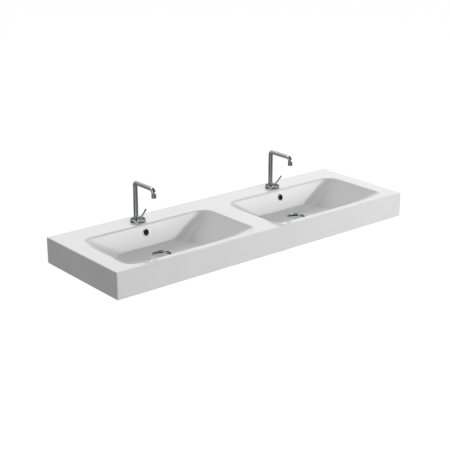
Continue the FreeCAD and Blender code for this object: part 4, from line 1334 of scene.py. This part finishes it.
class BASIN_OT_stage(bpy.types.Operator):
    """Sets up the camera, the soft light, the pale floor and the cards that polished faces mirror"""

    bl_idname = "basin.stage"
    bl_label = "Stage"

    def execute(self, context):
        settings = context.scene.basin_stage
        context.scene.view_settings.view_transform = "Standard"
        ground = DECK_Z - settings.deck_height
        self.camera(context.scene, settings)
        self.world(context.scene, settings)
        self.floor(settings, ground)
        self.lights(settings)
        for name, setting, place, size in CARDS:
            self.card(name, getattr(settings, setting), place, size, aimed(place))
        for side in SIDES:
            self.tap_card(settings, side)
        for name, setting, (x, y, height), size in MATS:
            self.card(name, getattr(settings, setting), (x, y, ground + height), size)
        return {"FINISHED"}

    def camera(self, scene, settings):
        bpy.ops.object.camera_add(location=CAMERA_PLACE, rotation=[math.radians(a) for a in CAMERA_TURN])
        camera = bpy.context.object
        camera.name = "camera"
        camera.data.sensor_fit = "HORIZONTAL"
        camera.data.lens = settings.lens
        scene.camera = camera

    def lights(self, settings):
        """A soft box in front on the right, and even light from behind and from the left."""
        key = self.lamp("key_light", "AREA", settings.key, KEY_PLACE)
        key.data.shape = "RECTANGLE"
        key.data.size = KEY_SIZE[0]
        key.data.size_y = KEY_SIZE[1]
        for name, setting, place, softness in SUNS:
            sun = self.lamp(name, "SUN", getattr(settings, setting), place)
            sun.data.angle = math.radians(softness)

    def lamp(self, name, kind, strength, place):
        """A lamp that shines at the basin and that polished faces don't show."""
        bpy.ops.object.light_add(type=kind, location=place, rotation=aimed(place))
        lamp = bpy.context.object
        lamp.name = name
        lamp.data.energy = strength
        lamp.visible_glossy = False
        return lamp

    def card(self, name, tone, place, size, lean=(0.0, 0.0, 0.0)):
        """Plain card of one grey tone that shows only in polished faces."""
        bpy.ops.mesh.primitive_plane_add(size=1.0, location=place, rotation=lean)
        card = started(name)
        card.scale = (*size, 1.0)
        material = bpy.data.materials.new(name)
        material.use_nodes = True
        tree = material.node_tree
        tree.nodes.remove(tree.nodes["Principled BSDF"])
        glow = tree.nodes.new("ShaderNodeEmission")
        glow.inputs["Color"].default_value = (tone, tone, tone, 1.0)
        tree.links.new(glow.outputs["Emission"], tree.nodes["Material Output"].inputs["Surface"])
        card.data.materials.append(material)
        card.visible_camera = False
        card.visible_diffuse = False
        card.visible_shadow = False
        card.visible_transmission = False

    def tap_card(self, settings, side):
        """Small card behind a tap, where the top of its base mirrors it to the camera."""
        start = Vector((side * BOWL_X, TAP_Y, DECK_Z + TAP_CARD_START))
        sight = (start - CAMERA_PLACE).normalized()
        mirrored = Vector((sight.x, sight.y, -sight.z))
        place = start + TAP_CARD_AWAY * mirrored
        lean = (QUARTER_TURN, 0.0, -math.atan2(sight.x, sight.y))
        self.card(f"tap_card_{side}", settings.dark, place, TAP_CARD_SIZE, lean)

    def seen(self, tree):
        """Socket that is 1 for rays that show the background: camera, mirror and glass rays."""
        path = tree.nodes.new("ShaderNodeLightPath")
        total = path.outputs["Is Camera Ray"]
        for ray in ("Is Glossy Ray", "Is Transmission Ray"):
            most = tree.nodes.new("ShaderNodeMath")
            most.operation = "MAXIMUM"
            tree.links.new(total, most.inputs[0])
            tree.links.new(path.outputs[ray], most.inputs[1])
            total = most.outputs["Value"]
        return total

    def world(self, scene, settings):
        world = bpy.data.worlds.new("studio")
        world.use_nodes = True
        tree = world.node_tree
        sky = tree.nodes["Background"]
        sky.inputs["Color"].default_value = WHITE
        strength = tree.nodes.new("ShaderNodeMapRange")
        strength.inputs["To Min"].default_value = settings.ambient
        tree.links.new(self.seen(tree), strength.inputs["Value"])
        tree.links.new(strength.outputs["Result"], sky.inputs["Strength"])
        scene.world = world

    def floor(self, settings, ground):
        """Pale floor that shows white, keeps the basin's shadow and is clear from below."""
        bpy.ops.mesh.primitive_plane_add(size=FLOOR_WIDTH, location=(0.0, 0.0, ground))
        floor = started("floor")
        material = bpy.data.materials.new("pale_floor")
        material.use_nodes = True
        tree = material.node_tree
        tree.nodes.remove(tree.nodes["Principled BSDF"])
        paint = tree.nodes.new("ShaderNodeBsdfDiffuse")
        paint.inputs["Color"].default_value = FLOOR_PAINT
        glow = tree.nodes.new("ShaderNodeEmission")
        lit = tree.nodes.new("ShaderNodeAddShader")
        clear = tree.nodes.new("ShaderNodeBsdfTransparent")
        facing = tree.nodes.new("ShaderNodeNewGeometry")
        mix = tree.nodes.new("ShaderNodeMixShader")
        strength = tree.nodes.new("ShaderNodeMapRange")
        strength.inputs["To Max"].default_value = settings.glow
        for source, target in ((self.seen(tree), strength.inputs["Value"]),
                               (strength.outputs["Result"], glow.inputs["Strength"]),
                               (paint.outputs["BSDF"], lit.inputs[0]),
                               (glow.outputs["Emission"], lit.inputs[1]),
                               (facing.outputs["Backfacing"], mix.inputs["Fac"]),
                               (lit.outputs["Shader"], mix.inputs[1]),
                               (clear.outputs["BSDF"], mix.inputs[2]),
                               (mix.outputs["Shader"], tree.nodes["Material Output"].inputs["Surface"])):
            tree.links.new(source, target)
        floor.data.materials.append(material)
        floor.visible_diffuse = False


STEPS = (BASIN_OT_finishes, BASIN_OT_casting, BASIN_OT_overflow_rings, BASIN_OT_wastes, BASIN_OT_plugs,
         BASIN_OT_tap_bases, BASIN_OT_tap_clamps, BASIN_OT_levers, BASIN_OT_spouts, BASIN_OT_nozzles,
         BASIN_OT_inner_pieces, BASIN_OT_stage)


class BASIN_PT_panel(bpy.types.Panel):
    """Lists the steps that make the double basin, and its sizes"""

    bl_idname = "BASIN_PT_panel"
    bl_label = "Double basin"
    bl_space_type = "VIEW_3D"
    bl_region_type = "UI"
    bl_category = "Basin"

    def draw(self, context):
        for step in STEPS:
            self.layout.operator(step.bl_idname)
        for name in GROUPS:
            group = getattr(context.scene, name)
            box = self.layout.box()
            for prop in group.__annotations__:
                box.prop(group, prop)


GROUPS = {"basin_casting": CastingSizes, "basin_wastes": WasteSizes, "basin_tap": TapSizes,
          "basin_finishes": FinishColours, "basin_stage": StageSettings}


def register():
    for group in GROUPS.values():
        bpy.utils.register_class(group)
    for name, group in GROUPS.items():
        setattr(bpy.types.Scene, name, PointerProperty(type=group))
    for step in STEPS:
        bpy.utils.register_class(step)
    bpy.utils.register_class(BASIN_PT_panel)


def unregister():
    bpy.utils.unregister_class(BASIN_PT_panel)
    for step in reversed(STEPS):
        bpy.utils.unregister_class(step)
    for name, group in GROUPS.items():
        delattr(bpy.types.Scene, name)
        bpy.utils.unregister_class(group)


def main():
    register()
    for step in STEPS:
        getattr(bpy.ops.basin, step.bl_idname.split(".")[1])()


if __name__ == "__main__":
    main()
